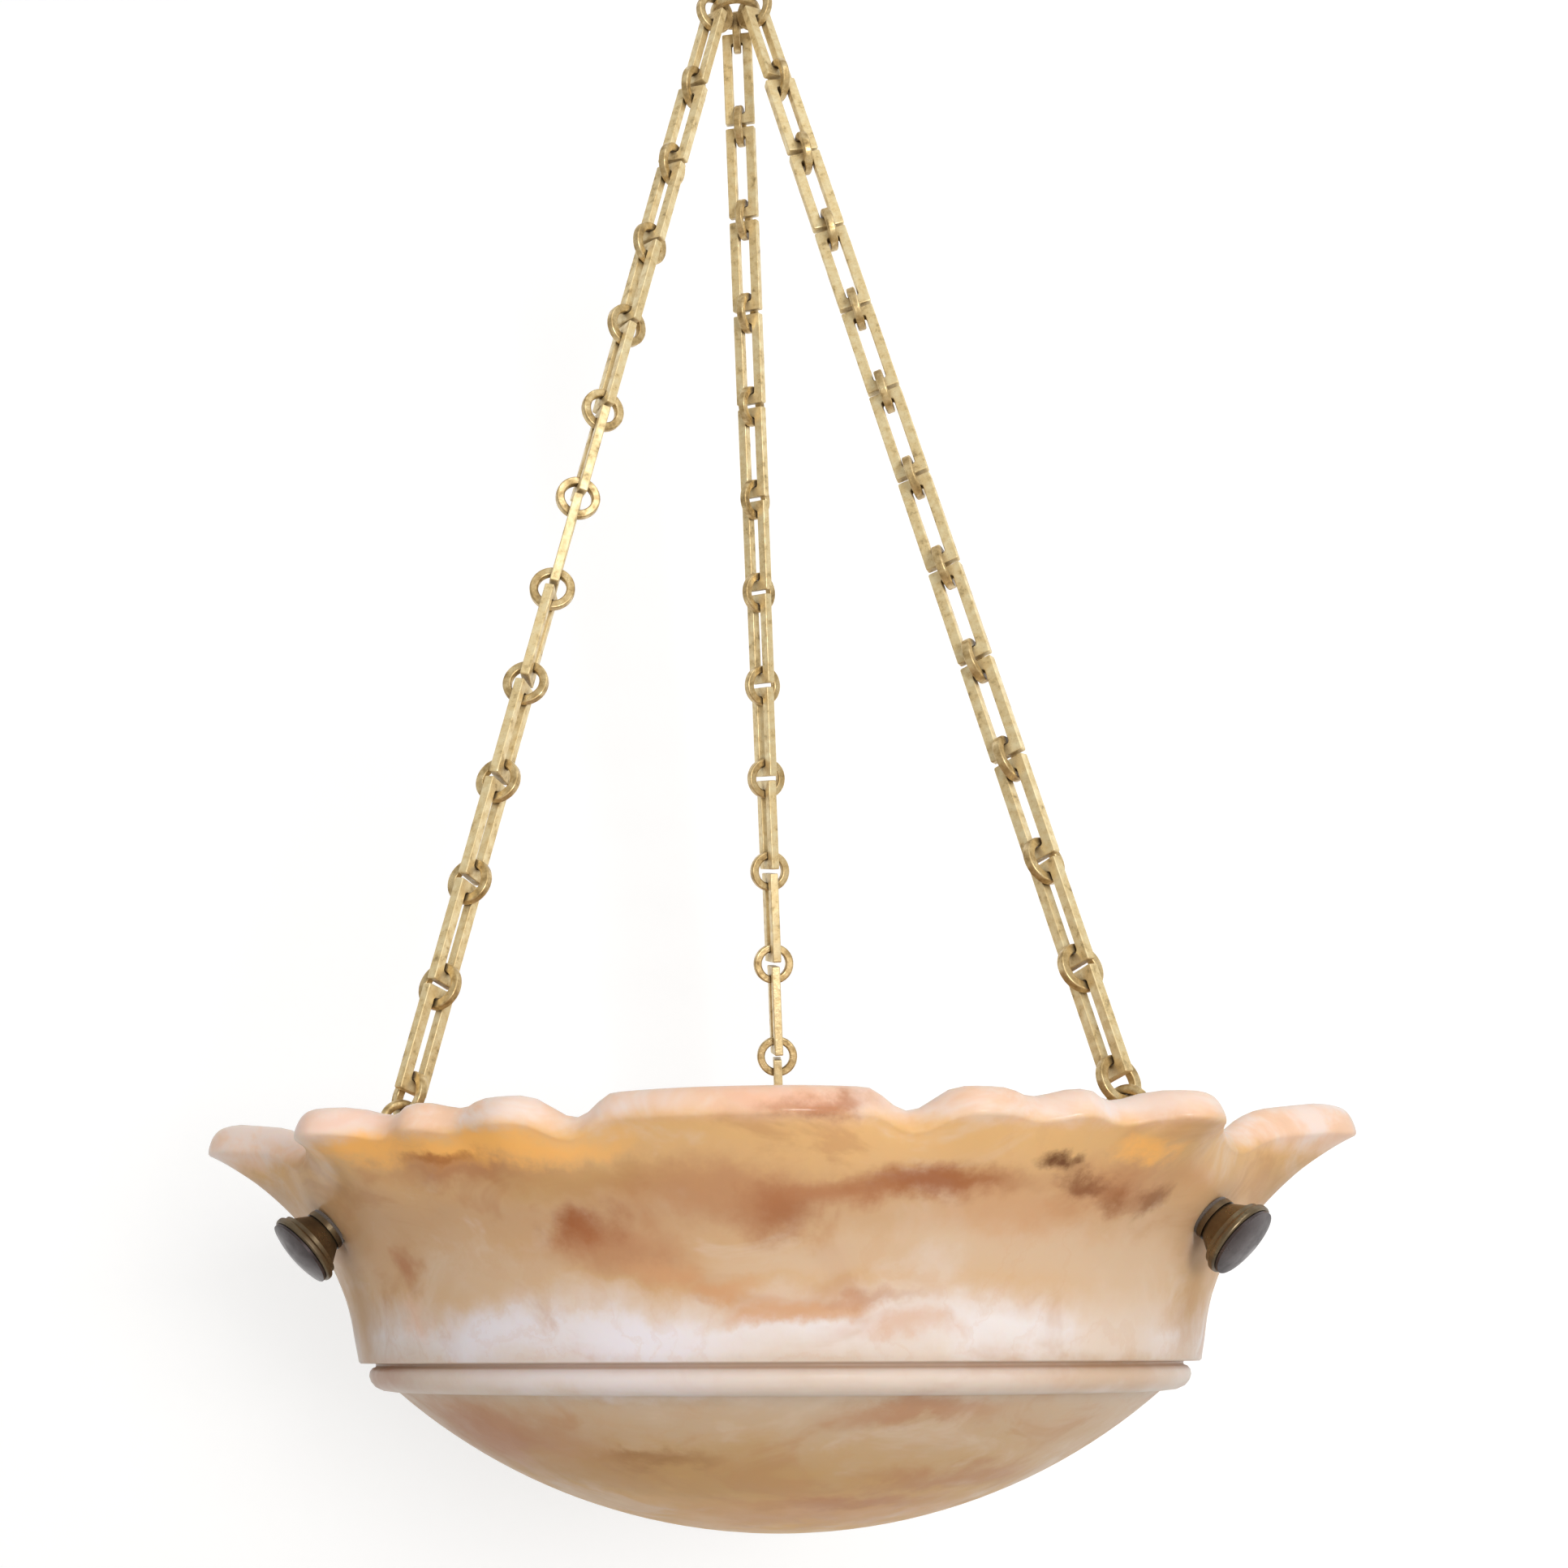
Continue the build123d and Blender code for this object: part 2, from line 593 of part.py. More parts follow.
def dome():
    """Outer form below the groove, turned: shallow dome, half-round bead, groove."""
    centre = DOME_RIM_HEIGHT + sqrt(DOME_R**2 - DOME_RIM_R**2)
    half = asin(DOME_RIM_R / DOME_R) / 2
    foot = (0, centre - DOME_R)
    bead = [
        (DOME_RIM_R, DOME_RIM_HEIGHT),
        (BEAD_R, DOME_RIM_HEIGHT),
        (BEAD_R, BEAD_TOP),
        (GROOVE_R, BEAD_TOP),
        (GROOVE_R, 0),
        (0, 0),
        foot,
    ]
    arc = ThreePointArc(foot, (DOME_R * sin(half), centre - DOME_R * cos(half)), bead[0])
    profile = make_face(Curve() + [arc, Polyline(*bead)])
    for x, y, radius in (
        (BEAD_R, DOME_RIM_HEIGHT, BEAD_LOWER_FILLET),
        (BEAD_R, BEAD_TOP, BEAD_UPPER_FILLET),
    ):
        profile = fillet(profile.vertices().sort_by_distance((x, y, 0))[0], radius)
    return Pos(0, 0, GROOVE_Z) * revolve(Plane.XZ * profile, Axis.Z)


def floor_height(radius):
    """Height of the bowl's inner floor, a sphere that stays FLOOR_THICK above the dome."""
    centre = DOME_RIM_HEIGHT + sqrt(DOME_R**2 - DOME_RIM_R**2) + FLOOR_THICK
    return centre - sqrt(DOME_R**2 - radius**2)


def cavity():
    """The hollow: the lobed inner wall, down to a round floor with a sloping corner."""
    slices = []
    for height in INNER_SLICES:
        slices.append(lobed_section(height, lambda a, h=height: inner_radius(a, h)))
    wall = loft(slices)
    above = LIP_TOP + FLOOR_THICK
    edge = (FLOOR_EDGE_R, floor_height(FLOOR_EDGE_R))
    middle = (FLOOR_EDGE_R / 2, floor_height(FLOOR_EDGE_R / 2))
    corner = (FLOOR_EDGE_R + CORNER_RUN, edge[1] + CORNER_RISE)
    outline = [edge, corner, (DOME_R, corner[1]), (DOME_R, above), (0, above), (0, floor_height(0))]
    floor_arc = ThreePointArc((0, floor_height(0)), middle, edge)
    above_floor = revolve(Plane.XZ * make_face(Curve() + [floor_arc, Polyline(*outline)]), Axis.Z)
    pan = [edge, (0, edge[1]), (0, floor_height(0))]
    pan = revolve(Plane.XZ * make_face(Curve() + [floor_arc, Polyline(*pan)]), Axis.Z)
    return wall & (Pos(0, 0, GROOVE_Z) * above_floor), Pos(0, 0, GROOVE_Z) * pan


def alabaster_bowl():
    """The bowl, carved from one block: dome, neck, lobed lip, scooped valleys, three holes."""
    bowl = dome() + neck_and_lip()
    for hollow in cavity():
        bowl = bowl - hollow
    scoops = []
    for azimuth, gouge_r, depth in SCOOPS:
        places = {side * azimuth % 360 for side in (-1, 1)}
        for place in [p + lobe * 360 / LOBES_IN_A_TURN for p in places for lobe in range(LOBES_IN_A_TURN)]:
            a = radians(place)
            line = Plane(origin=at(0, LIP_TOP - depth + gouge_r), z_dir=(sin(a), -cos(a), 0))
            scoops.append(line * Cylinder(gouge_r, DOME_R, align=BOTTOM))
    for azimuth in AZIMUTH.values():
        hole = stud_plane(0) * Cylinder(STUD_WIRE_R + STONE_PLAY, 3 * STONE_AT_STUD)
        outer_spot = stud_plane(0) * Cylinder(SEAT_SPOT_R, STONE_AT_STUD, align=BOTTOM)
        inner_spot = stud_plane(-2 * STONE_AT_STUD) * Cylinder(SEAT_SPOT_R, STONE_AT_STUD, align=BOTTOM)
        for tool in (hole, outer_spot, inner_spot):
            scoops.append(turned(tool, azimuth))
    return bowl - scoops


# ================================================================== lamp bracket
def bracket_arm():
    """Brass strip: a tab clamped on the stud, a bend, and a sloping run to the hub."""
    middle = ARM_TAB_AT + ARM_THICK / 2
    toe_height = HUB_TOP + ARM_THICK / 2
    line = [
        along_stud(middle, ARM_TAB_OUT),
        along_stud(middle, -ARM_TAB_IN),
        (ARM_HEEL_R, toe_height),
        (ARM_TOE_R, toe_height),
    ]
    outline = ribbon([(-radius, GROOVE_Z + height) for radius, height in line], ARM_THICK)
    strip = extrude(Plane.YZ * make_face(Polyline(*outline, close=True)), ARM_WIDTH / 2, both=True)
    stud_hole = stud_plane(middle) * Cylinder(STUD_WIRE_R + FIT, 4 * ARM_THICK)
    rivet_hole = Location(at(RIVET_CIRCLE_R, toe_height)) * Cylinder(RIVET_R + FIT, 4 * ARM_THICK)
    return strip - stud_hole - rivet_hole


def bracket_hub():
    """Round plate that the arms are riveted to and the lampholder hangs from."""
    hub = Location(at(0, HUB_TOP - HUB_THICK)) * disc(HUB_R, HUB_THICK, NIPPLE_R + FIT)
    for azimuth in AZIMUTH.values():
        hub = hub - Location(at(RIVET_CIRCLE_R, HUB_TOP, azimuth)) * Cylinder(RIVET_R + FIT, 4 * HUB_THICK)
    return hub


def arm_rivet():
    """Rivet with a head on each side."""
    grip = HUB_THICK + ARM_THICK
    outline = [
        (0, -RIVET_HEAD),
        (RIVET_HEAD_R, -RIVET_HEAD),
        (RIVET_HEAD_R, 0),
        (RIVET_R, 0),
        (RIVET_R, grip),
        (RIVET_HEAD_R, grip),
        (RIVET_HEAD_R, grip + RIVET_HEAD),
        (0, grip + RIVET_HEAD),
    ]
    return Location(at(RIVET_CIRCLE_R, HUB_TOP - HUB_THICK)) * spun(outline)


# ================================================================== lampholder
HUB_UNDER = HUB_TOP - HUB_THICK
COVER_END = HUB_UNDER - COVER_HEIGHT
INSULATOR_AT = COVER_END - HOLDER_SHOULDER + HOLDER_WALL
SLEEVE_END = INSULATOR_AT - SLEEVE_LENGTH


def spun_at(height, outline, fillets=(), fillet_r=0.0):
    """A turned piece on the bowl's axis, its outline given from a height above the groove."""
    return Location(at(0, height)) * spun(outline, fillets, fillet_r)


def holder_nipple():
    """Hollow threaded tube through the hub: it carries the lampholder, and the cable enters it."""
    length = NIPPLE_BELOW + HUB_THICK + NIPPLE_ABOVE
    return Location(at(0, HUB_UNDER - NIPPLE_BELOW)) * disc(NIPPLE_R, length, NIPPLE_BORE_R)


def nipple_nut():
    return Location(at(0, HUB_TOP)) * hexagon_nut(NIPPLE_NUT_FLATS, NIPPLE_NUT_THICK, NIPPLE_R + FIT)


def cable_bush():
    """Insulating bush in the nipple's upper end: the cable inlet."""
    outline = [
        (CABLE_HOLE_R, -BUSH_SPIGOT),
        (NIPPLE_BORE_R - FIT, -BUSH_SPIGOT),
        (NIPPLE_BORE_R - FIT, 0),
        (BUSH_R, 0),
        (BUSH_R, BUSH_THICK),
        (CABLE_HOLE_R, BUSH_THICK),
    ]
    return spun_at(HUB_TOP + NIPPLE_ABOVE, outline, [(BUSH_R, BUSH_THICK)], BUSH_THICK / 3)


def holder_cover():
    """Upper shell of the lampholder, screwed up against the hub."""
    inner_r = COVER_R - HOLDER_WALL
    outline = [
        (NIPPLE_R + FIT, 0),
        (COVER_TOP_R, 0),
        (COVER_R, -COVER_HEIGHT / 2),
        (COVER_R, -COVER_HEIGHT),
        (inner_r, -COVER_HEIGHT),
        (inner_r, -COVER_HEIGHT / 2 - HOLDER_WALL / 2),
        (COVER_TOP_R - HOLDER_WALL / 2, -HOLDER_WALL),
        (NIPPLE_R + FIT, -HOLDER_WALL),
    ]
    return spun_at(HUB_UNDER, outline)


def holder_body():
    """Lower shell: its spigot screws into the cover, and a ledge inside carries the insulator."""
    spigot_r = COVER_R - HOLDER_WALL - FIT
    bore_r = spigot_r - HOLDER_WALL
    ledge = INSULATOR_AT - COVER_END
    lower_bore = HOLDER_LOWER_R - HOLDER_WALL
    outline = [
        (bore_r, HOLDER_LAP),
        (spigot_r, HOLDER_LAP),
        (spigot_r, 0),
        (COVER_R, 0),
        (COVER_R, -HOLDER_SHOULDER / 2),
        (HOLDER_LOWER_R, -HOLDER_SHOULDER),
        (HOLDER_LOWER_R, -HOLDER_BODY_HEIGHT),
        (lower_bore, -HOLDER_BODY_HEIGHT),
        (lower_bore, ledge),
        (bore_r, ledge),
    ]
    return spun_at(COVER_END, outline)


def holder_insulator():
    """Porcelain disc that carries the contacts; it rests on the body's ledge."""
    radius = COVER_R - 2 * HOLDER_WALL - 2 * FIT
    block = Location(at(0, INSULATOR_AT)) * disc(radius, INSULATOR_THICK)
    top = INSULATOR_AT + INSULATOR_THICK
    for side in (-1, 1):
        place = at(0, top - TERMINAL_DEPTH) + Vector(side * TERMINAL_SPACING / 2, 0, 0)
        block = block - Location(place) * Cylinder(TERMINAL_R + FIT, 2 * TERMINAL_DEPTH, align=BOTTOM)
    return block


def terminal_screws():
    """Two screws in the insulator's top, for the cable's wires."""
    outline = [
        (0, -TERMINAL_DEPTH),
        (TERMINAL_R, -TERMINAL_DEPTH),
        (TERMINAL_R, 0),
        (TERMINAL_HEAD_R, 0),
        (TERMINAL_HEAD_R, TERMINAL_R),
        (0, TERMINAL_R),
    ]
    screw = spun_at(INSULATOR_AT + INSULATOR_THICK, outline)
    return [Pos(side * TERMINAL_SPACING / 2, 0, 0) * screw for side in (-1, 1)]


def thread_sleeve():
    """Brass sleeve whose thread takes the lamp's cap."""
    tube = disc(SLEEVE_BORE_R + SLEEVE_WALL, SLEEVE_LENGTH, SLEEVE_BORE_R)
    return Location(at(0, SLEEVE_END)) * tube


def centre_contact():
    return Location(at(0, INSULATOR_AT - CONTACT_THICK)) * disc(CONTACT_R, CONTACT_THICK)


def skirt_ring():
    """Threaded ring round the lampholder's lower shell."""
    ring = disc(SKIRT_R, SKIRT_THICK, HOLDER_LOWER_R + FIT)
    return Location(at(0, COVER_END - SKIRT_DROP - SKIRT_THICK)) * ring


# ================================================================== lamp
LAMP_TIP_TOP = INSULATOR_AT - CONTACT_THICK - GAP
LAMP_CAP_TOP = LAMP_TIP_TOP - LAMP_TIP_THICK
LAMP_COLLAR_TOP = LAMP_CAP_TOP - LAMP_CAP_LENGTH
LAMP_COLLAR_END = LAMP_COLLAR_TOP - LAMP_COLLAR_LENGTH


def lamp_cap():
    """Small screw cap, a thin cup that holds the tip's glass seat."""
    inner_r = LAMP_CAP_R - LAMP_CAP_WALL
    outline = [
        (LAMP_TIP_R, 0),
        (LAMP_TIP_SEAT_R, 0),
        (LAMP_CAP_R, -LAMP_TIP_THICK),
        (LAMP_CAP_R, -LAMP_CAP_LENGTH),
        (inner_r, -LAMP_CAP_LENGTH),
        (inner_r, -LAMP_TIP_THICK - LAMP_CAP_WALL),
        (LAMP_TIP_R, -LAMP_TIP_THICK),
    ]
    return spun_at(LAMP_CAP_TOP, outline)


def lamp_tip():
    """Contact button at the cap's end."""
    outline = [
        (0, -2 * LAMP_TIP_THICK),
        (LAMP_TIP_R - FIT, -2 * LAMP_TIP_THICK),
        (LAMP_TIP_R - FIT, 0),
        (LAMP_TIP_R, 0),
        (LAMP_TIP_R, LAMP_TIP_THICK),
        (0, LAMP_TIP_THICK),
    ]
    return spun_at(LAMP_CAP_TOP, outline)


def lamp_collar():
    """Plastic body between the cap and the globe."""
    plug_r = LAMP_CAP_R - LAMP_CAP_WALL - FIT
    outline = [
        (0, 4 * LAMP_TIP_THICK),
        (plug_r, 4 * LAMP_TIP_THICK),
        (plug_r, 0),
        (LAMP_CAP_R, 0),
        (LAMP_COLLAR_R, -LAMP_COLLAR_LENGTH),
        (0, -LAMP_COLLAR_LENGTH),
    ]
    return spun_at(LAMP_COLLAR_TOP, outline)


def lamp_globe():
    """Opal glass globe, open where it meets the collar."""
    neck_r = LAMP_COLLAR_R
    drop = sqrt(GLOBE_R**2 - neck_r**2)
    inside_r = GLOBE_R - GLOBE_WALL
    inner_neck_r = sqrt(inside_r**2 - drop**2)
    side = GLOBE_R / sqrt(2)
    inner_side = inside_r / sqrt(2)
    edges = [
        ThreePointArc((neck_r, 0), (side, -drop - side), (0, -drop - GLOBE_R)),
        Line((0, -drop - GLOBE_R), (0, -drop - inside_r)),
        ThreePointArc((0, -drop - inside_r), (inner_side, -drop - inner_side), (inner_neck_r, 0)),
        Line((inner_neck_r, 0), (neck_r, 0)),
    ]
    shell = revolve(Plane.XZ * make_face(Curve() + edges), Axis.Z)
    return Location(at(0, LAMP_COLLAR_END)) * shell


# ================================================================== writing the pieces
def save(name, *solids):
    """One STEP file per piece, or per group of identical pieces."""
    shape = solids[0] if len(solids) == 1 else Compound(children=list(solids))
    export_step(shape, f"parts/{name}.step")


def main():
    os.makedirs("parts", exist_ok=True)
    save("ceiling_plate", ceiling_plate())
    save("lock_nut", lock_nut())
    save("ceiling_hook", ceiling_hook())
    save("gather_ring", gather_ring())
    save("chain_crown", chain_crown())
    save("alabaster_bowl", alabaster_bowl())
    for side, azimuth in AZIMUTH.items():
        rings, links = chain(side)
        save(f"{side}_chain_rings", *rings)
        save(f"{side}_chain_links", *links)
        save(f"{side}_hook_stud", turned(hook_stud(), azimuth))
        save(f"{side}_boss_bell", turned(boss_bell(), azimuth))
        save(f"{side}_boss_cap", turned(boss_cap(), azimuth))
        save(f"{side}_bracket_arm", turned(bracket_arm(), azimuth))
    groups = {
        "outer_felts": outer_felt,
        "inner_felts": inner_felt,
        "inner_washers": inner_washer,
        "stud_nuts": stud_nut,
        "arm_rivets": arm_rivet,
    }
    for name, piece in groups.items():
        save(name, *[turned(piece(), azimuth) for azimuth in AZIMUTH.values()])
    save("bracket_hub", bracket_hub())
    save("holder_nipple", holder_nipple())
    save("nipple_nut", nipple_nut())
    save("cable_bush", cable_bush())
    save("holder_cover", holder_cover())
    save("holder_body", holder_body())
    save("holder_insulator", holder_insulator())
    save("terminal_screws", *terminal_screws())
    save("thread_sleeve", thread_sleeve())
    save("centre_contact", centre_contact())
    save("skirt_ring", skirt_ring())
    save("lamp_cap", lamp_cap())
    save("lamp_tip", lamp_tip())
    save("lamp_collar", lamp_collar())
    save("lamp_globe", lamp_globe())
    print("groove at z", round(GROOVE_Z, 3), "gather ring at z", round(GATHER_Z, 3), "hook", HOOK_BOTTOM_Z)


main()
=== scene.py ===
from math import asin, atan2, cos, degrees, pi, radians, sin, sqrt

import bpy
from mathutils import Euler, Matrix, Vector


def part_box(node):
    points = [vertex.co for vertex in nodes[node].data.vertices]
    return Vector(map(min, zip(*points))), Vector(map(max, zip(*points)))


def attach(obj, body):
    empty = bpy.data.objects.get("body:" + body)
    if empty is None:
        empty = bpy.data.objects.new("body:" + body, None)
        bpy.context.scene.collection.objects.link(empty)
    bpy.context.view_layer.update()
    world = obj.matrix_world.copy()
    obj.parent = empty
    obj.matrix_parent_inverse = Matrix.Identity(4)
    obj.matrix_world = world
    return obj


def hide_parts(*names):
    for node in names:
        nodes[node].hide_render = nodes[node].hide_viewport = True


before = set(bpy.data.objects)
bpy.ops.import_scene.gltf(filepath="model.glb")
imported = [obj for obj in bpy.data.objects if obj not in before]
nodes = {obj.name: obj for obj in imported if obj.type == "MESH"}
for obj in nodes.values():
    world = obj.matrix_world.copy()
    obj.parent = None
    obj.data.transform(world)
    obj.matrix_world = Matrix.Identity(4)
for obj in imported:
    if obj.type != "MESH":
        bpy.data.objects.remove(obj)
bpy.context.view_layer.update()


# ---------------------------------------------------------------- place of the bowl
# The bowl's groove, the dark line round the foot of its neck, is the height that the bowl and the
# camera are measured from. Azimuths go round Z from the front, so 60 is the right-hand stud.
DOME_DROP = 0.058851
groove_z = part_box("alabaster_bowl")[0].z + DOME_DROP


def on_bowl(radius, height, azimuth):
    """A point by radius, height above the groove and azimuth in degrees."""
    a = radians(azimuth)
    return Vector((radius * sin(a), -radius * cos(a), groove_z + height))


# ---------------------------------------------------------------- camera
# A normal lens just below the rim looks up a little, as the photograph does. Its frame is cut from
# the side of a wider one, which the shift stands for.
camera_data = bpy.data.cameras.new("camera")
camera = bpy.data.objects.new("camera", camera_data)
bpy.context.collection.objects.link(camera)
camera.location = (0.03456, -0.77197, groove_z + 0.00096)
aim = Euler((radians(90 + 14.484), 0, radians(7.985))).to_matrix() @ Matrix.Rotation(-0.0038, 3, "Z")
camera.rotation_euler = aim.to_euler()
camera_data.sensor_width = 36
camera_data.lens = 46.77
camera_data.shift_x = 0.1361
camera_data.shift_y = 0.0318
bpy.context.scene.camera = camera


# ---------------------------------------------------------------- backdrop and floor
# A white wall stands behind the lamp, just clear of its swing, and takes its soft shadow. A pale
# floor lies below. Both can be looked through from their far sides, so that the lamp shows there.
WALL_Y = 0.325
FLOOR_DROP = 0.45

scene = bpy.context.scene
scene.view_settings.view_transform = "Standard"


def node_in(tree, kind, **sockets):
    """Adds a shader node and sets its inputs by name."""
    node = tree.nodes.new(kind)
    for name, value in sockets.items():
        node.inputs[name.replace("_", " ")].default_value = value
    return node


def new_material(name):
    """An empty node material with its output; returns the material, its tree and the output."""
    material = bpy.data.materials.new(name)
    material.use_nodes = True
    material.node_tree.nodes.clear()
    return material, material.node_tree, material.node_tree.nodes.new("ShaderNodeOutputMaterial")


def backdrop_material(name, colour, glow):
    """Matt paint that glows a little for the camera, and for what shines or is clear."""
    material, tree, output = new_material(name)
    speckle = node_in(tree, "ShaderNodeTexNoise", Scale=220.0, Detail=3.0)
    paint = node_in(tree, "ShaderNodeBsdfDiffuse", Color=colour)
    relief = node_in(tree, "ShaderNodeBump", Strength=0.02, Distance=0.0005)
    light = node_in(tree, "ShaderNodeEmission", Color=(1, 1, 1, 1), Strength=glow)
    both = tree.nodes.new("ShaderNodeAddShader")
    path = tree.nodes.new("ShaderNodeLightPath")
    seen = tree.nodes.new("ShaderNodeMath")
    seen.operation = "MAXIMUM"
    gloss = tree.nodes.new("ShaderNodeMath")
    gloss.operation = "MAXIMUM"
    choice = tree.nodes.new("ShaderNodeMixShader")
    tree.links.new(speckle.outputs["Fac"], relief.inputs["Height"])
    tree.links.new(relief.outputs["Normal"], paint.inputs["Normal"])
    tree.links.new(paint.outputs[0], both.inputs[0])
    tree.links.new(light.outputs[0], both.inputs[1])
    tree.links.new(path.outputs["Is Glossy Ray"], gloss.inputs[0])
    tree.links.new(path.outputs["Is Transmission Ray"], gloss.inputs[1])
    tree.links.new(path.outputs["Is Camera Ray"], seen.inputs[0])
    tree.links.new(gloss.outputs[0], seen.inputs[1])
    tree.links.new(seen.outputs[0], choice.inputs[0])
    tree.links.new(paint.outputs[0], choice.inputs[1])
    tree.links.new(both.outputs[0], choice.inputs[2])
    geometry = tree.nodes.new("ShaderNodeNewGeometry")
    clear = tree.nodes.new("ShaderNodeBsdfTransparent")
    sided = tree.nodes.new("ShaderNodeMixShader")
    tree.links.new(geometry.outputs["Backfacing"], sided.inputs[0])
    tree.links.new(choice.outputs[0], sided.inputs[1])
    tree.links.new(clear.outputs[0], sided.inputs[2])
    tree.links.new(sided.outputs[0], output.inputs["Surface"])
    return material


bpy.ops.object.select_all(action="DESELECT")
bpy.ops.mesh.primitive_plane_add(size=8, location=(0, WALL_Y, groove_z), rotation=(radians(90), 0, 0))
wall = bpy.context.object
wall.name = "backdrop_wall"
wall.data.materials.append(backdrop_material("wall_paint", (0.62, 0.62, 0.62, 1), 0.48))
bpy.ops.object.select_all(action="DESELECT")
bpy.ops.mesh.primitive_plane_add(size=8, location=(0, 0, groove_z - FLOOR_DROP))
floor = bpy.context.object
floor.name = "floor"
floor.data.materials.append(backdrop_material("floor_paint", (0.72, 0.70, 0.67, 1), 0.05))


# ---------------------------------------------------------------- light
# A soft box in front, a little to the right, a weaker one above on the right, and a pale room.
world = bpy.data.worlds.new("room")
scene.world = world
world.use_nodes = True
room = world.node_tree
direction = room.nodes.new("ShaderNodeTexCoord")
upward = room.nodes.new("ShaderNodeVectorMath")
upward.operation = "DOT_PRODUCT"
upward.inputs[1].default_value = (0.2, -0.6, 0.75)
room.links.new(direction.outputs["Generated"], upward.inputs[0])
brightness = room.nodes.new("ShaderNodeMapRange")
brightness.inputs["From Min"].default_value = -0.5
brightness.inputs["From Max"].default_value = 0.9
brightness.inputs["To Min"].default_value = 0.33
brightness.inputs["To Max"].default_value = 0.64
room.links.new(upward.outputs["Value"], brightness.inputs["Value"])
room.nodes["Background"].inputs["Color"].default_value = (1.0, 0.995, 0.985, 1)
room.links.new(brightness.outputs["Result"], room.nodes["Background"].inputs["Strength"])


def soft_box(name, place, size, power):
    """A square area lamp aimed at the bowl."""
    lamp_data = bpy.data.lights.new(name, "AREA")
    lamp_data.size = size
    lamp_data.energy = power
    lamp = bpy.data.objects.new(name, lamp_data)
    lamp.location = place
    lamp.rotation_euler = (Vector((0, 0, groove_z)) - Vector(place)).to_track_quat("-Z", "Y").to_euler()
    bpy.context.collection.objects.link(lamp)


soft_box("key_box", (0.80, -2.2, groove_z + 0.05), 0.6, 23)
soft_box("top_box", (0.9, -1.5, groove_z + 1.4), 0.9, 7)


# ---------------------------------------------------------------- alabaster bowl
# Carved from one block of veined alabaster: a shallow dome, a half-round bead, a groove, a tall neck
# and a flared lip cut into lobes and polished. Profile points are (radius, height above the groove).
DOME_R = 0.2134
DOME_RIM = (0.136, -0.0099)
FLOOR_THICK = 0.016
BOWL_SEGMENTS = 288
VALLEY_LIP_R = 0.178
LOBE_START, LOBE_END, LOBE_POWER = 0.030, 0.0692, 3.3
HOLLOW_START, LIP_TOP, HOLLOW_POWER = 0.045, 0.078, 2.0
# A sixth of the lip, from the middle of a broad lobe to the valley at a stud: (azimuth, radius).
LIP_TURNS = (
    (0, 0.1853),
    (6, 0.1846),
    (12, 0.1808),
    (16.5, 0.1778),
    (22, 0.1868),
    (25.5, 0.1858),
    (28.5, 0.1836),
    (32.5, 0.1900),
    (35.5, 0.1876),
    (38, 0.1915),
    (41, 0.2018),
    (43, 0.2030),
    (46, 0.1985),
    (50, 0.1890),
    (55, 0.1805),
    (60, 0.1780),
)
SIDE_REACH = 1.10  # the lobes beyond the left and right studs reach further out
# Notches and softer dips in the lip's top: (azimuth, half width in degrees, depth).
LIP_DIPS = ((16.5, 4.6, 0.0066), (28.5, 3.6, 0.0020), (36.5, 3.4, 0.0026), (60, 9.0, 0.0060))
SIDE_LIFT = 0.0062  # how much higher the lip stands beyond the left and right studs
# The outside from the groove up, the lip's round edge, and the inside back down to the floor.
BEAD_AND_GROOVE = (
    (0.1380, -0.00980),
    (0.1415, -0.00935),
    (0.1442, -0.00815),
    (0.1458, -0.00640),
    (0.1466, -0.00440),
    (0.1464, -0.00270),
    (0.1455, -0.00160),
    (0.1444, -0.00120),
    (0.1442, -0.00060),
    (0.1444, -0.00010),
    (0.1496, 0.00000),
    (0.1504, 0.00060),
)
NECK = (
    (0.1510, 0.0035),
    (0.1520, 0.0080),
    (0.1534, 0.0150),
    (0.1556, 0.0225),
    (0.1588, 0.0300),
    (0.1609, 0.0340),
    (0.1630, 0.0380),
    (0.1657, 0.0420),
    (0.1684, 0.0460),
    (0.1709, 0.0500),
    (0.1732, 0.0540),
    (0.1749, 0.0575),
    (0.1762, 0.0610),
    (0.1773, 0.0640),
    (0.1780, 0.0665),
)
LIP = (
    (0.1785, 0.0680),
    (0.1790, 0.0690),
    (0.1792, 0.0702),
    (0.1789, 0.0718),
    (0.1781, 0.0738),
    (0.1769, 0.0758),
    (0.1755, 0.0771),
    (0.1738, 0.0778),
    (0.1721, 0.0779),
    (0.1708, 0.0774),
    (0.1697, 0.0763),
    (0.1687, 0.0745),
)
INSIDE = (
    (0.1678, 0.0725),
    (0.1665, 0.0695),
    (0.1645, 0.0655),
    (0.1620, 0.0610),
    (0.1575, 0.0540),
    (0.1515, 0.0460),
    (0.1470, 0.0380),
    (0.1448, 0.0300),
    (0.1422, 0.0220),
    (0.1400, 0.0150),
    (0.1360, 0.0085),
    (0.1300, 0.0020),
    (0.1240, -0.0040),
)


def growth(height, start, end, power):
    """Share of the lobes' reach that the wall has at a height."""
    return max(0.0, min(1.0, (height - start) / (end - start))) ** power


def eased(points, cuts):
    """Points on a smooth line through the given ones, with extra points between each two."""
    line = []
    ends = [points[0], *points, points[-1]]
    for before, start, end, after in zip(ends, ends[1:], ends[2:], ends[3:]):
        for i in range(cuts):
            t = i / cuts
            line.append(tuple(
                b + t * ((c - a) / 2 + t * (a - 2.5 * b + 2 * c - d / 2 + t * (1.5 * (b - c) + (d - a) / 2)))
                for a, b, c, d in zip(before, start, end, after)
            ))
    return [*line, points[-1]]


lip_line = eased(LIP_TURNS, 6)


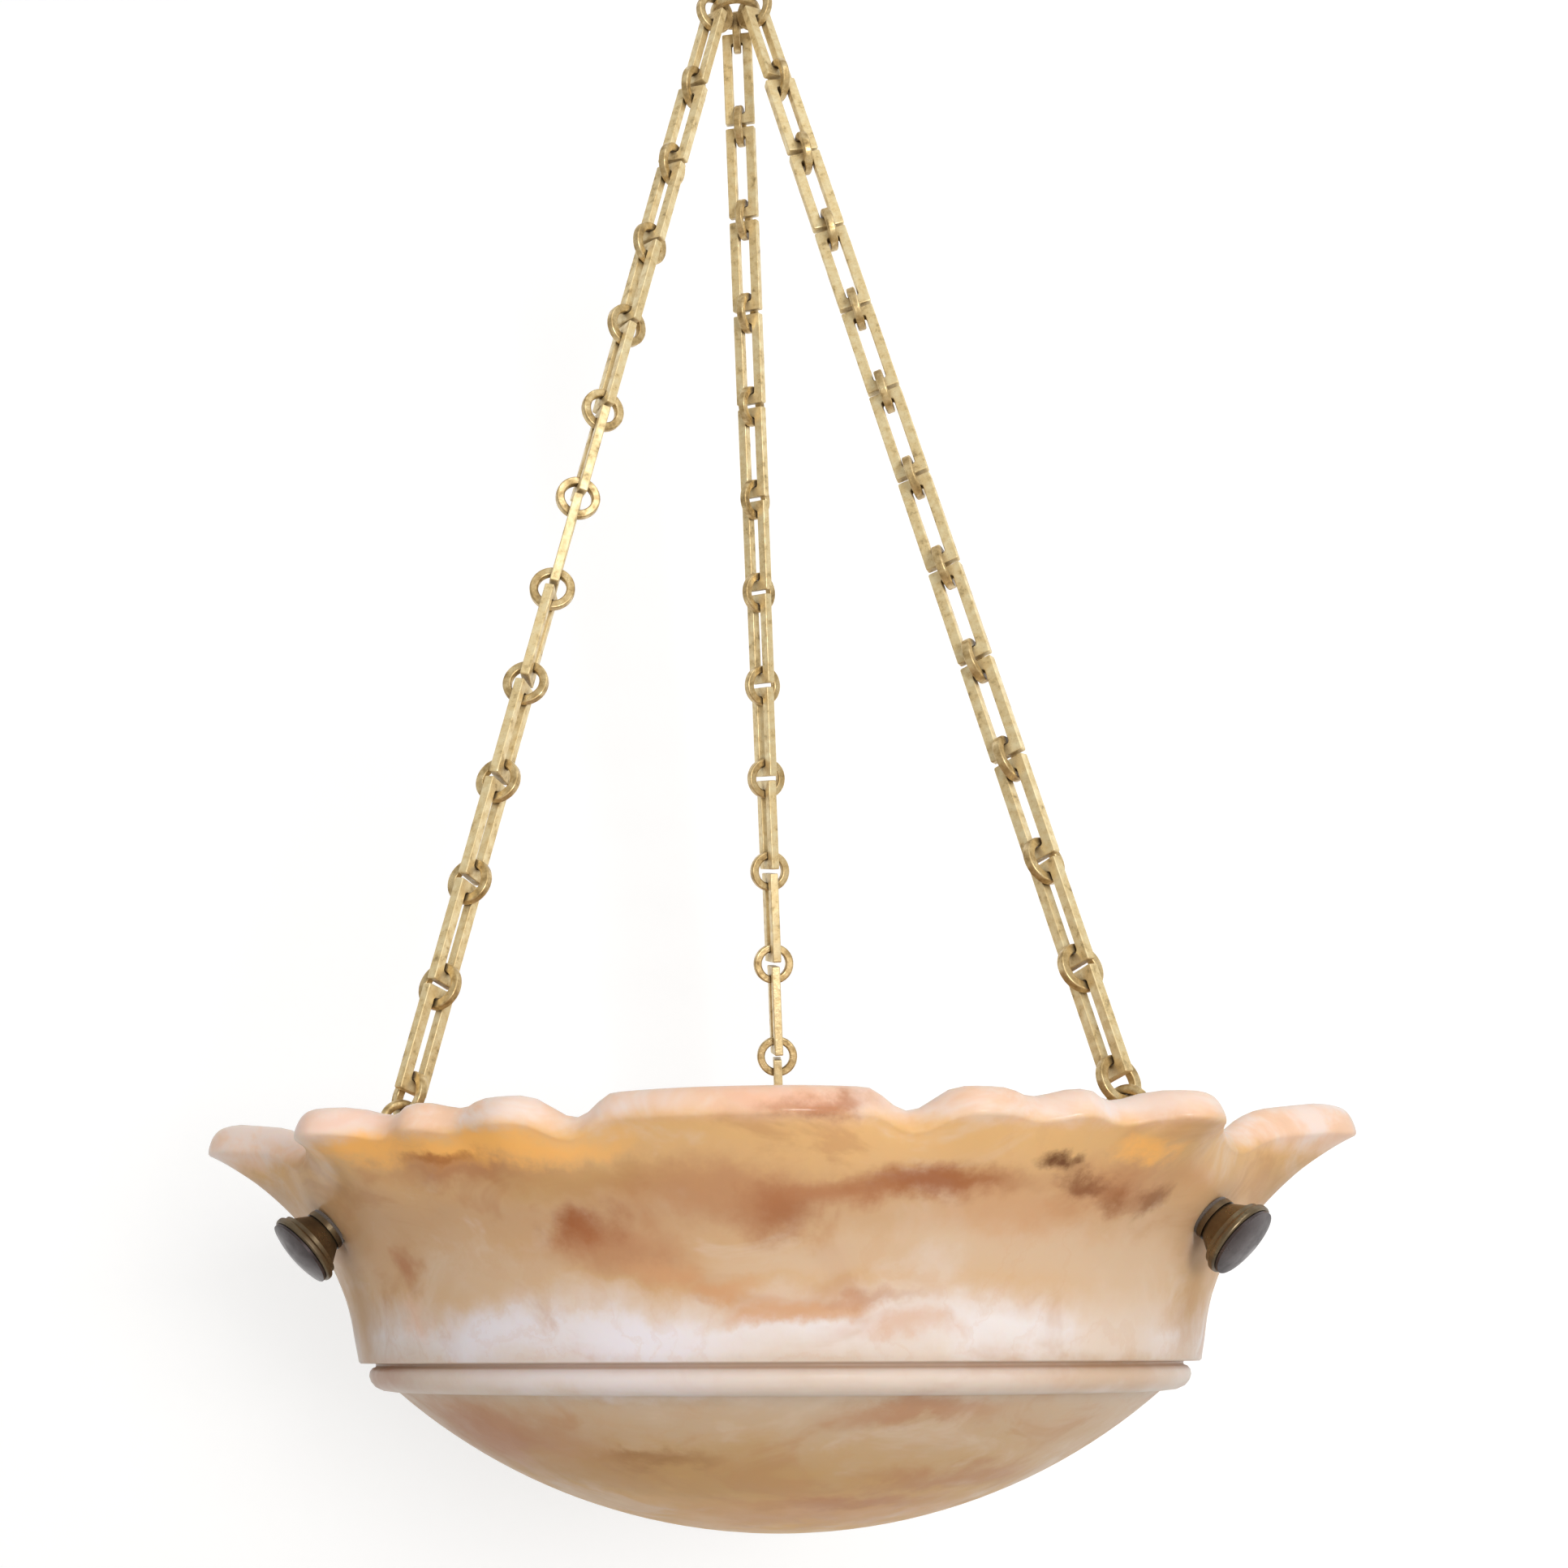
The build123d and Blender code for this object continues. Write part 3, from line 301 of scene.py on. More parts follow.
def lip_at(azimuth):
    """Radius of the lip's edge, and how far its top is lowered, at an azimuth."""
    a = abs((azimuth + 60) % 120 - 60)
    side = growth(abs(azimuth), 62, 74, 1)
    dip = sum(depth * (1 + cos(pi * (a - middle) / half)) / 2 for middle, half, depth in LIP_DIPS
              if abs(a - middle) < half)
    for (a0, r0), (a1, r1) in zip(lip_line, lip_line[1:]):
        if a <= a1 + 0.001:
            radius = r0 + (r1 - r0) * (a - a0) / (a1 - a0)
            reach = (radius - VALLEY_LIP_R) * (1 + (SIDE_REACH - 1) * side)
            return VALLEY_LIP_R + reach, dip - SIDE_LIFT * side


dome_centre = DOME_RIM[1] + sqrt(DOME_R**2 - DOME_RIM[0] ** 2)
rim_angle = asin(DOME_RIM[0] / DOME_R)
outer_dome = [(DOME_R * sin(t), dome_centre - DOME_R * cos(t)) for t in
              [rim_angle * i / 24 for i in range(25)]]
floor_angle = asin(0.118 / DOME_R)
inner_floor = [(DOME_R * sin(t), dome_centre + FLOOR_THICK - DOME_R * cos(t)) for t in
               [floor_angle * (1 - i / 16) for i in range(17)]]
profile = [*outer_dome, *BEAD_AND_GROOVE, *eased(NECK + LIP + INSIDE, 2), *inner_floor]

bpy.ops.object.select_all(action="DESELECT")
bpy.ops.mesh.primitive_plane_add(size=0.01, location=(0, 0, groove_z + profile[0][1]))
bowl = bpy.context.object
bowl.name = "carved_bowl"
bpy.ops.object.transform_apply(location=True)
bpy.ops.object.mode_set(mode="EDIT")
bpy.ops.mesh.select_all(action="SELECT")
bpy.ops.mesh.merge(type="CENTER")
for (r0, z0), (r1, z1) in zip(profile, profile[1:]):
    bpy.ops.mesh.extrude_region_move(TRANSFORM_OT_translate={"value": (0, r0 - r1, z1 - z0)})
bpy.ops.mesh.select_all(action="SELECT")
bpy.ops.mesh.spin(steps=BOWL_SEGMENTS, angle=2 * pi, center=(0, 0, 0), axis=(0, 0, 1))
bpy.ops.mesh.select_all(action="SELECT")
bpy.ops.mesh.remove_doubles(threshold=0.00002)
bpy.ops.mesh.normals_make_consistent(inside=False)
bpy.ops.object.mode_set(mode="OBJECT")

# The turned blank is carved: the wall is drawn out into the lobes and the lip's top is dipped.
STUD_AZIMUTHS = (-60, 60, 180)
TILT = radians(42)
SEAT = (0.168, 0.0455)
SEAT_SPOT_R = 0.0092
STONE_AT_STUD = 0.013


def middle_of_wall(height):
    """Radius halfway through the uncarved wall, which tells its outside from its inside."""
    return 0.145 + (0.1725 - 0.145) * max(0.0, min(1.0, height / 0.078)) ** 1.5


for vertex in bowl.data.vertices:
    x, y, z = vertex.co
    height = z - groove_z
    radius = sqrt(x * x + y * y)
    if height <= 0 or radius < 0.12:
        continue
    azimuth = degrees(atan2(x, -y))
    lip_r, dip = lip_at(azimuth)
    reach = lip_r - VALLEY_LIP_R
    outside = radius > middle_of_wall(height)
    if outside:
        moved = radius + reach * growth(height, LOBE_START, LOBE_END, LOBE_POWER)
    else:
        moved = radius + reach * growth(height, HOLLOW_START, LIP_TOP, HOLLOW_POWER)
    lowered = height - dip * growth(height, 0.046, 0.074, 1.3)
    vertex.co = on_bowl(moved, lowered, azimuth)

# Flat seats for the felts are sunk in the stone round each stud.
for stud_azimuth in STUD_AZIMUTHS:
    a = radians(stud_azimuth)
    axis = Vector((cos(TILT) * sin(a), -cos(TILT) * cos(a), -sin(TILT)))
    seat = on_bowl(SEAT[0], SEAT[1], stud_azimuth)
    for vertex in bowl.data.vertices:
        outward = (vertex.co - seat).dot(axis)
        aside = (vertex.co - seat - axis * outward).length
        if aside > SEAT_SPOT_R or abs(outward) > 0.03:
            continue
        if outward > -STONE_AT_STUD / 2:
            vertex.co -= axis * max(0.0, outward)
        else:
            vertex.co -= axis * min(0.0, outward + STONE_AT_STUD)

bpy.ops.object.shade_smooth()

# Clouds and veins in the stone, with some painted light and shade among them where marked: (azimuth, radius,
# height) of the middle, (width, height) of the cloud, its colour and how strong it is. Those of TRIM_CLOUDS
# lie on the lip and the bead.
# The amber is used under the lip, where it is partly painted light glowing through the thin stone.
AMBER_AND_GLOW = (0.95, 0.49, 0.14, 1)
RUST = (0.34, 0.105, 0.035, 1)
BRICK = (0.46, 0.19, 0.085, 1)
PEACH = (0.64, 0.34, 0.17, 1)
PINK = (0.86, 0.50, 0.34, 1)
DARK = (0.13, 0.045, 0.018, 1)
UMBER = (0.24, 0.095, 0.035, 1)
TAN = (0.52, 0.29, 0.11, 1)
CREAM = (0.68, 0.50, 0.35, 1)
WHITE = (0.80, 0.74, 0.72, 1)
# The violet white is partly a painted reflection of the soft box, low on the front of the neck and along the
# bead.
VIOLET_WHITE_AND_REFLECTION = (0.80, 0.75, 0.79, 1)
CLOUDS = (
    # Partly a painted reflection of the soft box: violet white low on the front of the neck.
    ((-33.0, 0.152, 0.0080), (0.030, 0.012), VIOLET_WHITE_AND_REFLECTION, 0.85),
    ((-14.0, 0.152, 0.0060), (0.040, 0.009), VIOLET_WHITE_AND_REFLECTION, 0.85),
    ((29.0, 0.153, 0.0080), (0.026, 0.012), WHITE, 0.7),
    ((50.0, 0.155, 0.0160), (0.030, 0.022), CREAM, 0.6),
    ((26.0, 0.160, 0.0320), (0.060, 0.012), CREAM, 0.65),
    ((44.0, 0.160, 0.0300), (0.040, 0.016), CREAM, 0.6),
    ((-27.0, 0.160, 0.0260), (0.030, 0.010), CREAM, 0.5),
    ((5.0, 0.158, 0.0290), (0.034, 0.007), CREAM, 0.6),
    ((20.0, 0.157, 0.0260), (0.016, 0.006), WHITE, 0.3),
    ((-36.0, 0.158, 0.0300), (0.024, 0.012), CREAM, 0.5),
    ((-17.4, 0.164, 0.0390), (0.015, 0.009), RUST, 0.95),
    ((-14.5, 0.161, 0.0330), (0.030, 0.012), BRICK, 0.6),
    ((-29.5, 0.174, 0.0560), (0.040, 0.0065), BRICK, 0.7),
    ((-16.0, 0.170, 0.0520), (0.040, 0.008), TAN, 0.6),
    # Amber under the lip: partly the stone's colour, partly painted light glowing through the thin stone.
    ((-26.0, 0.180, 0.0625), (0.055, 0.0065), AMBER_AND_GLOW, 0.95),
    ((-40.0, 0.186, 0.0655), (0.030, 0.006), AMBER_AND_GLOW, 0.9),
    ((-31.0, 0.178, 0.0595), (0.018, 0.003), RUST, 0.7),
    ((4.0, 0.167, 0.0440), (0.017, 0.011), RUST, 0.75),
    ((-1.0, 0.166, 0.0490), (0.050, 0.010), BRICK, 0.55),
    ((11.0, 0.169, 0.0480), (0.030, 0.006), BRICK, 0.6),
    ((20.0, 0.171, 0.0500), (0.036, 0.0070), RUST, 0.85),
    ((31.6, 0.176, 0.0580), (0.010, 0.0042), DARK, 0.95),
    ((35.8, 0.172, 0.0525), (0.011, 0.0045), DARK, 0.9),
    ((39.6, 0.170, 0.0485), (0.011, 0.0060), UMBER, 0.9),
    ((45.6, 0.169, 0.0470), (0.012, 0.0060), UMBER, 0.8),
    ((40.0, 0.172, 0.0520), (0.030, 0.0100), BRICK, 0.55),
    # Amber under the lip again, partly painted glow.
    ((41.0, 0.180, 0.0620), (0.012, 0.0060), AMBER_AND_GLOW, 0.95),
    ((28.7, 0.165, 0.0410), (0.036, 0.0090), PEACH, 0.5),
    ((52.0, 0.176, 0.0560), (0.024, 0.0090), PEACH, 0.6),
    ((-9.0, 0.158, 0.0275), (0.018, 0.0045), PEACH, 0.75),
    ((-2.0, 0.155, 0.0225), (0.018, 0.0045), PEACH, 0.75),
    ((3.0, 0.154, 0.0150), (0.020, 0.0050), PEACH, 0.75),
    ((9.5, 0.154, 0.0150), (0.016, 0.0040), PEACH, 0.7),
    ((14.0, 0.154, 0.0170), (0.016, 0.0030), BRICK, 0.45),
    ((19.0, 0.152, 0.0085), (0.024, 0.0050), PEACH, 0.55),
    ((-44.5, 0.158, 0.0300), (0.012, 0.0080), BRICK, 0.75),
    ((-46.0, 0.154, 0.0150), (0.010, 0.0120), PINK, 0.4),
    ((-18.7, 0.108, -0.0305), (0.024, 0.0045), UMBER, 0.8),
    ((-14.0, 0.108, -0.0320), (0.050, 0.0090), TAN, 0.5),
    ((23.0, 0.131, -0.0152), (0.034, 0.0050), BRICK, 0.6),
    ((-50.0, 0.118, -0.0250), (0.060, 0.0160), BRICK, 0.8),
    ((-36.0, 0.096, -0.0360), (0.050, 0.0100), TAN, 0.7),
    ((13.0, 0.065, -0.0489), (0.070, 0.0120), PEACH, 0.7),
    ((40.0, 0.096, -0.0350), (0.050, 0.0060), BRICK, 0.55),
    ((24.0, 0.080, -0.0440), (0.040, 0.0040), BRICK, 0.5),
    # Painted shade: darker tan where the neck and the side lobes turn away at the far sides.
    ((66.0, 0.156, 0.0220), (0.026, 0.0280), TAN, 0.85),
    ((-64.0, 0.152, 0.0160), (0.026, 0.0280), TAN, 0.85),
    ((-78.0, 0.186, 0.0560), (0.040, 0.0140), TAN, 0.8),
    ((78.0, 0.186, 0.0560), (0.040, 0.0140), TAN, 0.95),
)
TRIM_CLOUDS = (
    ((8.0, 0.187, 0.0725), (0.020, 0.0045), BRICK, 0.9),
    ((3.0, 0.187, 0.0760), (0.036, 0.0050), PINK, 0.6),
    ((-42.0, 0.200, 0.0740), (0.030, 0.0050), PINK, 0.5),
    # Partly a painted highlight: white on the lip's top where two lobes meet on the right.
    ((36.0, 0.188, 0.0750), (0.040, 0.0060), WHITE, 0.5),
    # Partly a painted highlight: violet white along the bead at the front.
    ((-20.0, 0.146, -0.0050), (0.060, 0.0070), VIOLET_WHITE_AND_REFLECTION, 0.5),
    ((50.0, 0.146, -0.0050), (0.050, 0.0080), TAN, 0.45),
    ((-62.0, 0.146, -0.0050), (0.034, 0.0080), BRICK, 0.5),
)


def linked(tree, source, target):
    tree.links.new(source, target)


def ramp_in(tree, stops, factor):
    """A colour ramp through (place, colour) stops, driven by a factor socket."""
    ramp = tree.nodes.new("ShaderNodeValToRGB")
    elements = ramp.color_ramp.elements
    while len(elements) < len(stops):
        elements.new(0.5)
    for element, (place, colour) in zip(elements, stops):
        element.position = place
        element.color = colour
    linked(tree, factor, ramp.inputs["Fac"])
    return ramp.outputs["Color"]


def range_in(tree, source, low, high, to_low=0.0, to_high=1.0, steps="SMOOTHSTEP"):
    """Maps a value range onto another, clamped."""
    node = tree.nodes.new("ShaderNodeMapRange")
    node.interpolation_type = steps
    node.inputs["From Min"].default_value = low
    node.inputs["From Max"].default_value = high
    node.inputs["To Min"].default_value = to_low
    node.inputs["To Max"].default_value = to_high
    linked(tree, source, node.inputs["Value"])
    return node.outputs["Result"]


def mixed(tree, factor, under, over):
    """Mixes one colour over another by a factor socket; each colour is a socket or written out."""
    node = tree.nodes.new("ShaderNodeMix")
    node.data_type = "RGBA"
    linked(tree, factor, node.inputs["Factor"])
    for name, colour in (("A_Color", under), ("B_Color", over)):
        target = [socket for socket in node.inputs if socket.identifier == name][0]
        if isinstance(colour, tuple):
            target.default_value = colour
        else:
            linked(tree, colour, target)
    return [socket for socket in node.outputs if socket.identifier == "Result_Color"][0]


def vector_math(tree, operation, a, b):
    node = tree.nodes.new("ShaderNodeVectorMath")
    node.operation = operation
    linked(tree, a, node.inputs[0])
    if isinstance(b, (tuple, Vector)):
        node.inputs[1].default_value = b
    else:
        linked(tree, b, node.inputs[1])
    return node.outputs["Vector"]


def noise_in(tree, place, scale, detail, roughness, distortion=0.0):
    """Noise over a vector socket."""
    node = node_in(tree, "ShaderNodeTexNoise", Scale=scale, Detail=detail, Roughness=roughness,
                   Distortion=distortion)
    linked(tree, place, node.inputs["Vector"])
    return node


def clouded(tree, warped, colour, clouds):
    """Lays placed clouds over a colour."""
    for (azimuth, radius, height), (width, tall), tint, strength in clouds:
        offset = vector_math(tree, "SUBTRACT", warped, on_bowl(radius, height, azimuth))
        shaped = vector_math(tree, "DIVIDE", offset, (width, width, tall))
        length = tree.nodes.new("ShaderNodeVectorMath")
        length.operation = "LENGTH"
        linked(tree, shaped, length.inputs[0])
        cloud = range_in(tree, length.outputs["Value"], 1.15, 0.15, 0.0, strength)
        colour = mixed(tree, cloud, colour, tint)
    return colour


def alabaster():
    """Polished alabaster: zones by height, patches, placed clouds, wisps of vein and soft inner light; some
    of the colour is painted light and shade.
    """
    material, tree, output = new_material("alabaster")
    place = tree.nodes.new("ShaderNodeTexCoord").outputs["Object"]
    slow = noise_in(tree, place, 16.0, 3.0, 0.55)
    fine = noise_in(tree, place, 75.0, 5.0, 0.62)
    drift = vector_math(tree, "SUBTRACT", slow.outputs["Color"], (0.5, 0.5, 0.5))
    ripple = vector_math(tree, "SUBTRACT", fine.outputs["Color"], (0.5, 0.5, 0.5))
    drift = vector_math(tree, "MULTIPLY", drift, (0.030, 0.030, 0.018))
    ripple = vector_math(tree, "MULTIPLY", ripple, (0.022, 0.022, 0.014))
    warped = vector_math(tree, "ADD", vector_math(tree, "ADD", place, drift), ripple)
    split = tree.nodes.new("ShaderNodeSeparateXYZ")
    linked(tree, warped, split.inputs[0])
    # Zones of colour by height. The amber at the top of the ramp, under the lip, is partly painted light and
    # shade: light glowing through the thin stone, and shade under the overhang.
    level = range_in(tree, split.outputs["Z"], groove_z - 0.06, groove_z + 0.08, steps="LINEAR")
    colour = ramp_in(tree, (
        (0.00, (0.76, 0.43, 0.13, 1)),
        (0.16, (0.62, 0.38, 0.16, 1)),
        (0.34, (0.62, 0.46, 0.32, 1)),
        (0.42, (0.70, 0.57, 0.47, 1)),
        (0.50, (0.78, 0.70, 0.67, 1)),
        (0.60, (0.66, 0.43, 0.24, 1)),
        (0.74, (0.62, 0.39, 0.22, 1)),
        (0.88, (0.74, 0.45, 0.20, 1)),
        (1.00, (0.86, 0.52, 0.24, 1)),
    ), level)
    # Broad patches of paler and of browner stone, the same way all round.
    flattened = vector_math(tree, "MULTIPLY", place, (1.0, 1.0, 1.7))
    patch = noise_in(tree, flattened, 24.0, 4.0, 0.6, 0.8).outputs["Fac"]
    colour = mixed(tree, range_in(tree, patch, 0.52, 0.70, 0.0, 0.45), colour, (0.76, 0.62, 0.50, 1))
    colour = mixed(tree, range_in(tree, patch, 0.47, 0.32, 0.0, 0.45), colour, (0.52, 0.26, 0.12, 1))
    # Stronger brown clouds on the sides and the back.
    sides = tree.nodes.new("ShaderNodeSeparateXYZ")
    linked(tree, place, sides.inputs[0])
    away = range_in(tree, sides.outputs["Y"], -0.05, 0.02, 0.0, 0.75)
    rusty = noise_in(tree, warped, 19.0, 3.0, 0.5).outputs["Fac"]
    rusty = range_in(tree, rusty, 0.56, 0.72)
    both = tree.nodes.new("ShaderNodeMath")
    both.operation = "MULTIPLY"
    linked(tree, away, both.inputs[0])
    linked(tree, rusty, both.inputs[1])
    colour = mixed(tree, both.outputs[0], colour, BRICK)
    colour = clouded(tree, warped, colour, CLOUDS)
    # Thin wisps of vein, where a wrung noise crosses its middle.
    wisp = noise_in(tree, warped, 20.0, 4.0, 0.55, 1.2).outputs["Fac"]
    middle = tree.nodes.new("ShaderNodeMath")
    middle.operation = "SUBTRACT"
    middle.inputs[1].default_value = 0.5
    linked(tree, wisp, middle.inputs[0])
    away_from_it = tree.nodes.new("ShaderNodeMath")
    away_from_it.operation = "ABSOLUTE"
    linked(tree, middle.outputs[0], away_from_it.inputs[0])
    thread = range_in(tree, away_from_it.outputs[0], 0.040, 0.0, 0.0, 0.12)
    colour = mixed(tree, thread, colour, (0.60, 0.32, 0.16, 1))
    # The polished lip is pinkish white down to about its lower edge, and the bead is pale too, partly as a
    # painted highlight along it.
    halfway = tree.nodes.new("ShaderNodeMath")
    halfway.operation = "ADD"
    linked(tree, sides.outputs["Z"], halfway.inputs[0])
    linked(tree, split.outputs["Z"], halfway.inputs[1])
    average = tree.nodes.new("ShaderNodeMath")
    average.operation = "MULTIPLY"
    average.inputs[1].default_value = 0.5
    linked(tree, halfway.outputs[0], average.inputs[0])
    lip_edge = average.outputs[0]
    lip = range_in(tree, lip_edge, groove_z + 0.0655, groove_z + 0.0725, 0.0, 0.78)
    lip_tint = mixed(tree, range_in(tree, patch, 0.40, 0.60), (0.86, 0.58, 0.43, 1), (0.86, 0.74, 0.70, 1))
    colour = mixed(tree, lip, colour, lip_tint)
    # Only the outside has the bead and the groove; the inside is plain at that height.
    from_axis = tree.nodes.new("ShaderNodeVectorMath")
    from_axis.operation = "LENGTH"
    linked(tree, vector_math(tree, "MULTIPLY", place, (1.0, 1.0, 0.0)), from_axis.inputs[0])
    outside = range_in(tree, from_axis.outputs["Value"], 0.136, 0.140)
    bead = range_in(tree, sides.outputs["Z"], groove_z - 0.0125, groove_z - 0.0100, 0.0, 0.5)
    below_neck = range_in(tree, sides.outputs["Z"], groove_z + 0.0008, groove_z - 0.0004)
    both = tree.nodes.new("ShaderNodeMath")
    both.operation = "MULTIPLY"
    linked(tree, bead, both.inputs[0])
    linked(tree, below_neck, both.inputs[1])
    bead_outside = tree.nodes.new("ShaderNodeMath")
    bead_outside.operation = "MULTIPLY"
    linked(tree, both.outputs[0], bead_outside.inputs[0])
    linked(tree, outside, bead_outside.inputs[1])
    # The bead's pale band: partly its own colour, partly a painted highlight.
    colour = mixed(tree, bead_outside.outputs[0], colour, (0.76, 0.67, 0.62, 1))
    colour = clouded(tree, warped, colour, TRIM_CLOUDS)
    # A dark brown line is painted along the groove: painted shade in the recess.
    upper = range_in(tree, sides.outputs["Z"], groove_z + 0.0006, groove_z - 0.0002)
    lower = range_in(tree, sides.outputs["Z"], groove_z - 0.0021, groove_z - 0.0013, 0.0, 0.55)
    line = tree.nodes.new("ShaderNodeMath")
    line.operation = "MULTIPLY"
    linked(tree, upper, line.inputs[0])
    linked(tree, lower, line.inputs[1])
    groove_shade_outside = tree.nodes.new("ShaderNodeMath")
    groove_shade_outside.operation = "MULTIPLY"
    linked(tree, line.outputs[0], groove_shade_outside.inputs[0])
    linked(tree, outside, groove_shade_outside.inputs[1])
    colour = mixed(tree, groove_shade_outside.outputs[0], colour, (0.40, 0.22, 0.11, 1))
    shader = node_in(tree, "ShaderNodeBsdfPrincipled", IOR=1.45)
    shader.inputs["Specular IOR Level"].default_value = 0.06
    shader.inputs["Subsurface Weight"].default_value = 0.25
    shader.inputs["Subsurface Radius"].default_value = (1.0, 0.45, 0.22)
    shader.inputs["Subsurface Scale"].default_value = 0.006
    shader.inputs["Coat Roughness"].default_value = 0.14
    linked(tree, range_in(tree, lip, 0.0, 0.78, 0.06, 0.35), shader.inputs["Coat Weight"])
    linked(tree, range_in(tree, fine.outputs["Fac"], 0.3, 0.7, 0.30, 0.44), shader.inputs["Roughness"])
    relief = node_in(tree, "ShaderNodeBump", Strength=0.10, Distance=0.0006)
    linked(tree, fine.outputs["Fac"], relief.inputs["Height"])
    linked(tree, relief.outputs["Normal"], shader.inputs["Normal"])
    linked(tree, colour, shader.inputs["Base Color"])
    linked(tree, shader.outputs[0], output.inputs["Surface"])
    return material


bowl.data.materials.append(alabaster())
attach(bowl, "bowl_and_chains")
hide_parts("alabaster_bowl")


# ---------------------------------------------------------------- chains, hook studs and ceiling hook
# Cast brass rings and links with the remains of an old pale gilding: worn and mottled, pitted by the
# casting, with painted shade in the recesses and where pieces meet. The links have kept more of the gilding
# than the rings.
def dress(material, *names):
    """Gives the named nodes of the frame a material in place of their plain one."""
    for name in names:
        nodes[name].data.materials.clear()
        nodes[name].data.materials.append(material)


def old_metal(name, pale, body, dark, roughness, shine, grain=900.0, pits=0.0006):
    """Aged metal: three tones by noise, painted shade in the recesses, pitted relief."""
    material, tree, output = new_material(name)
    place = tree.nodes.new("ShaderNodeTexCoord").outputs["Object"]
    mottle = node_in(tree, "ShaderNodeTexNoise", Scale=grain * 0.30, Detail=5.0, Roughness=0.6)
    speck = node_in(tree, "ShaderNodeTexVoronoi", Scale=grain)
    linked(tree, place, mottle.inputs["Vector"])
    linked(tree, place, speck.inputs["Vector"])
    colour = ramp_in(tree, ((0.18, dark), (0.42, body), (0.66, pale)), mottle.outputs["Fac"])
    # Painted shade: the colour goes dark where ambient occlusion finds the surface hemmed in, in recesses
    # and between touching pieces.
    recess = node_in(tree, "ShaderNodeAmbientOcclusion", Distance=0.004)
    recess.samples = 6
    recess_shade = range_in(tree, recess.outputs["AO"], 0.75, 0.25, 0.0, 0.85)
    colour = mixed(tree, recess_shade, colour, dark)
    spots = range_in(tree, speck.outputs["Distance"], 0.20, 0.08, 0.0, 0.3)
    colour = mixed(tree, spots, colour, dark)
    shader = node_in(tree, "ShaderNodeBsdfPrincipled", Metallic=shine, Roughness=roughness)
    wear = range_in(tree, mottle.outputs["Fac"], 0.3, 0.7, roughness + 0.12, roughness - 0.10)
    linked(tree, wear, shader.inputs["Roughness"])
    relief = node_in(tree, "ShaderNodeBump", Strength=0.35, Distance=pits)
    linked(tree, mottle.outputs["Fac"], relief.inputs["Height"])
    linked(tree, relief.outputs["Normal"], shader.inputs["Normal"])
    linked(tree, colour, shader.inputs["Base Color"])
    linked(tree, shader.outputs[0], output.inputs["Surface"])
    return material


SIDES = ("left", "right", "back")
gilding = old_metal("old_gilding", (0.92, 0.78, 0.47, 1), (0.78, 0.60, 0.30, 1), (0.15, 0.085, 0.025, 1),
                    0.38, 0.55)
worn_brass = old_metal("worn_brass", (0.80, 0.63, 0.34, 1), (0.50, 0.35, 0.15, 1), (0.09, 0.048, 0.016, 1),
                       0.36, 0.65)
for side in SIDES:
    dress(gilding, f"{side}_chain_links")
    dress(worn_brass, f"{side}_chain_rings", f"{side}_hook_stud")
dress(worn_brass, "ceiling_plate", "lock_nut", "ceiling_hook", "gather_ring", "chain_crown")


# ---------------------------------------------------------------- bosses
# Turned bronze bells with domed caps hide the studs' outer ends. They are patinated dark brown, with an
# olive sheen on the bell.
bell_bronze = old_metal("bell_bronze", (0.20, 0.15, 0.085, 1), (0.125, 0.090, 0.052, 1),
                        (0.04, 0.026, 0.016, 1), 0.36, 0.8, grain=260.0, pits=0.0001)
cap_bronze = old_metal("cap_bronze", (0.085, 0.066, 0.066, 1), (0.055, 0.041, 0.042, 1),
                       (0.018, 0.011, 0.011, 1), 0.36, 0.6, grain=260.0, pits=0.0002)
for side in SIDES:
    dress(bell_bronze, f"{side}_boss_bell")
    dress(cap_bronze, f"{side}_boss_cap")


# ---------------------------------------------------------------- felts, washers, nuts and bracket
# Pressed wool felt keeps the metal off the stone. The washers, nuts, arms, hub and rivets are plain
# brass that has dulled inside the bowl.
def felt():
    """Grey-brown pressed wool: fibres as fine stretched noise, no shine."""
    material, tree, output = new_material("felt")
    place = tree.nodes.new("ShaderNodeTexCoord").outputs["Object"]
    fibre = node_in(tree, "ShaderNodeTexNoise", Scale=1800.0, Detail=4.0, Roughness=0.7, Distortion=2.0)
    linked(tree, place, fibre.inputs["Vector"])
    stops = ((0.3, (0.05, 0.04, 0.035, 1)), (0.7, (0.16, 0.135, 0.115, 1)))
    colour = ramp_in(tree, stops, fibre.outputs["Fac"])
    shader = node_in(tree, "ShaderNodeBsdfPrincipled", Roughness=0.95)
    shader.inputs["Sheen Weight"].default_value = 0.3
    relief = node_in(tree, "ShaderNodeBump", Strength=0.6, Distance=0.0003)
    linked(tree, fibre.outputs["Fac"], relief.inputs["Height"])
    linked(tree, relief.outputs["Normal"], shader.inputs["Normal"])
    linked(tree, colour, shader.inputs["Base Color"])
    linked(tree, shader.outputs[0], output.inputs["Surface"])
    return material


dress(felt(), "outer_felts", "inner_felts")
dull_brass = old_metal("dull_brass", (0.78, 0.60, 0.30, 1), (0.60, 0.43, 0.18, 1), (0.22, 0.14, 0.05, 1),
                       0.32, 0.9, grain=300.0, pits=0.0001)
dress(dull_brass, "inner_washers", "stud_nuts", "arm_rivets", "bracket_hub", "holder_nipple", "nipple_nut")
for side in SIDES:
    dress(dull_brass, f"{side}_bracket_arm")


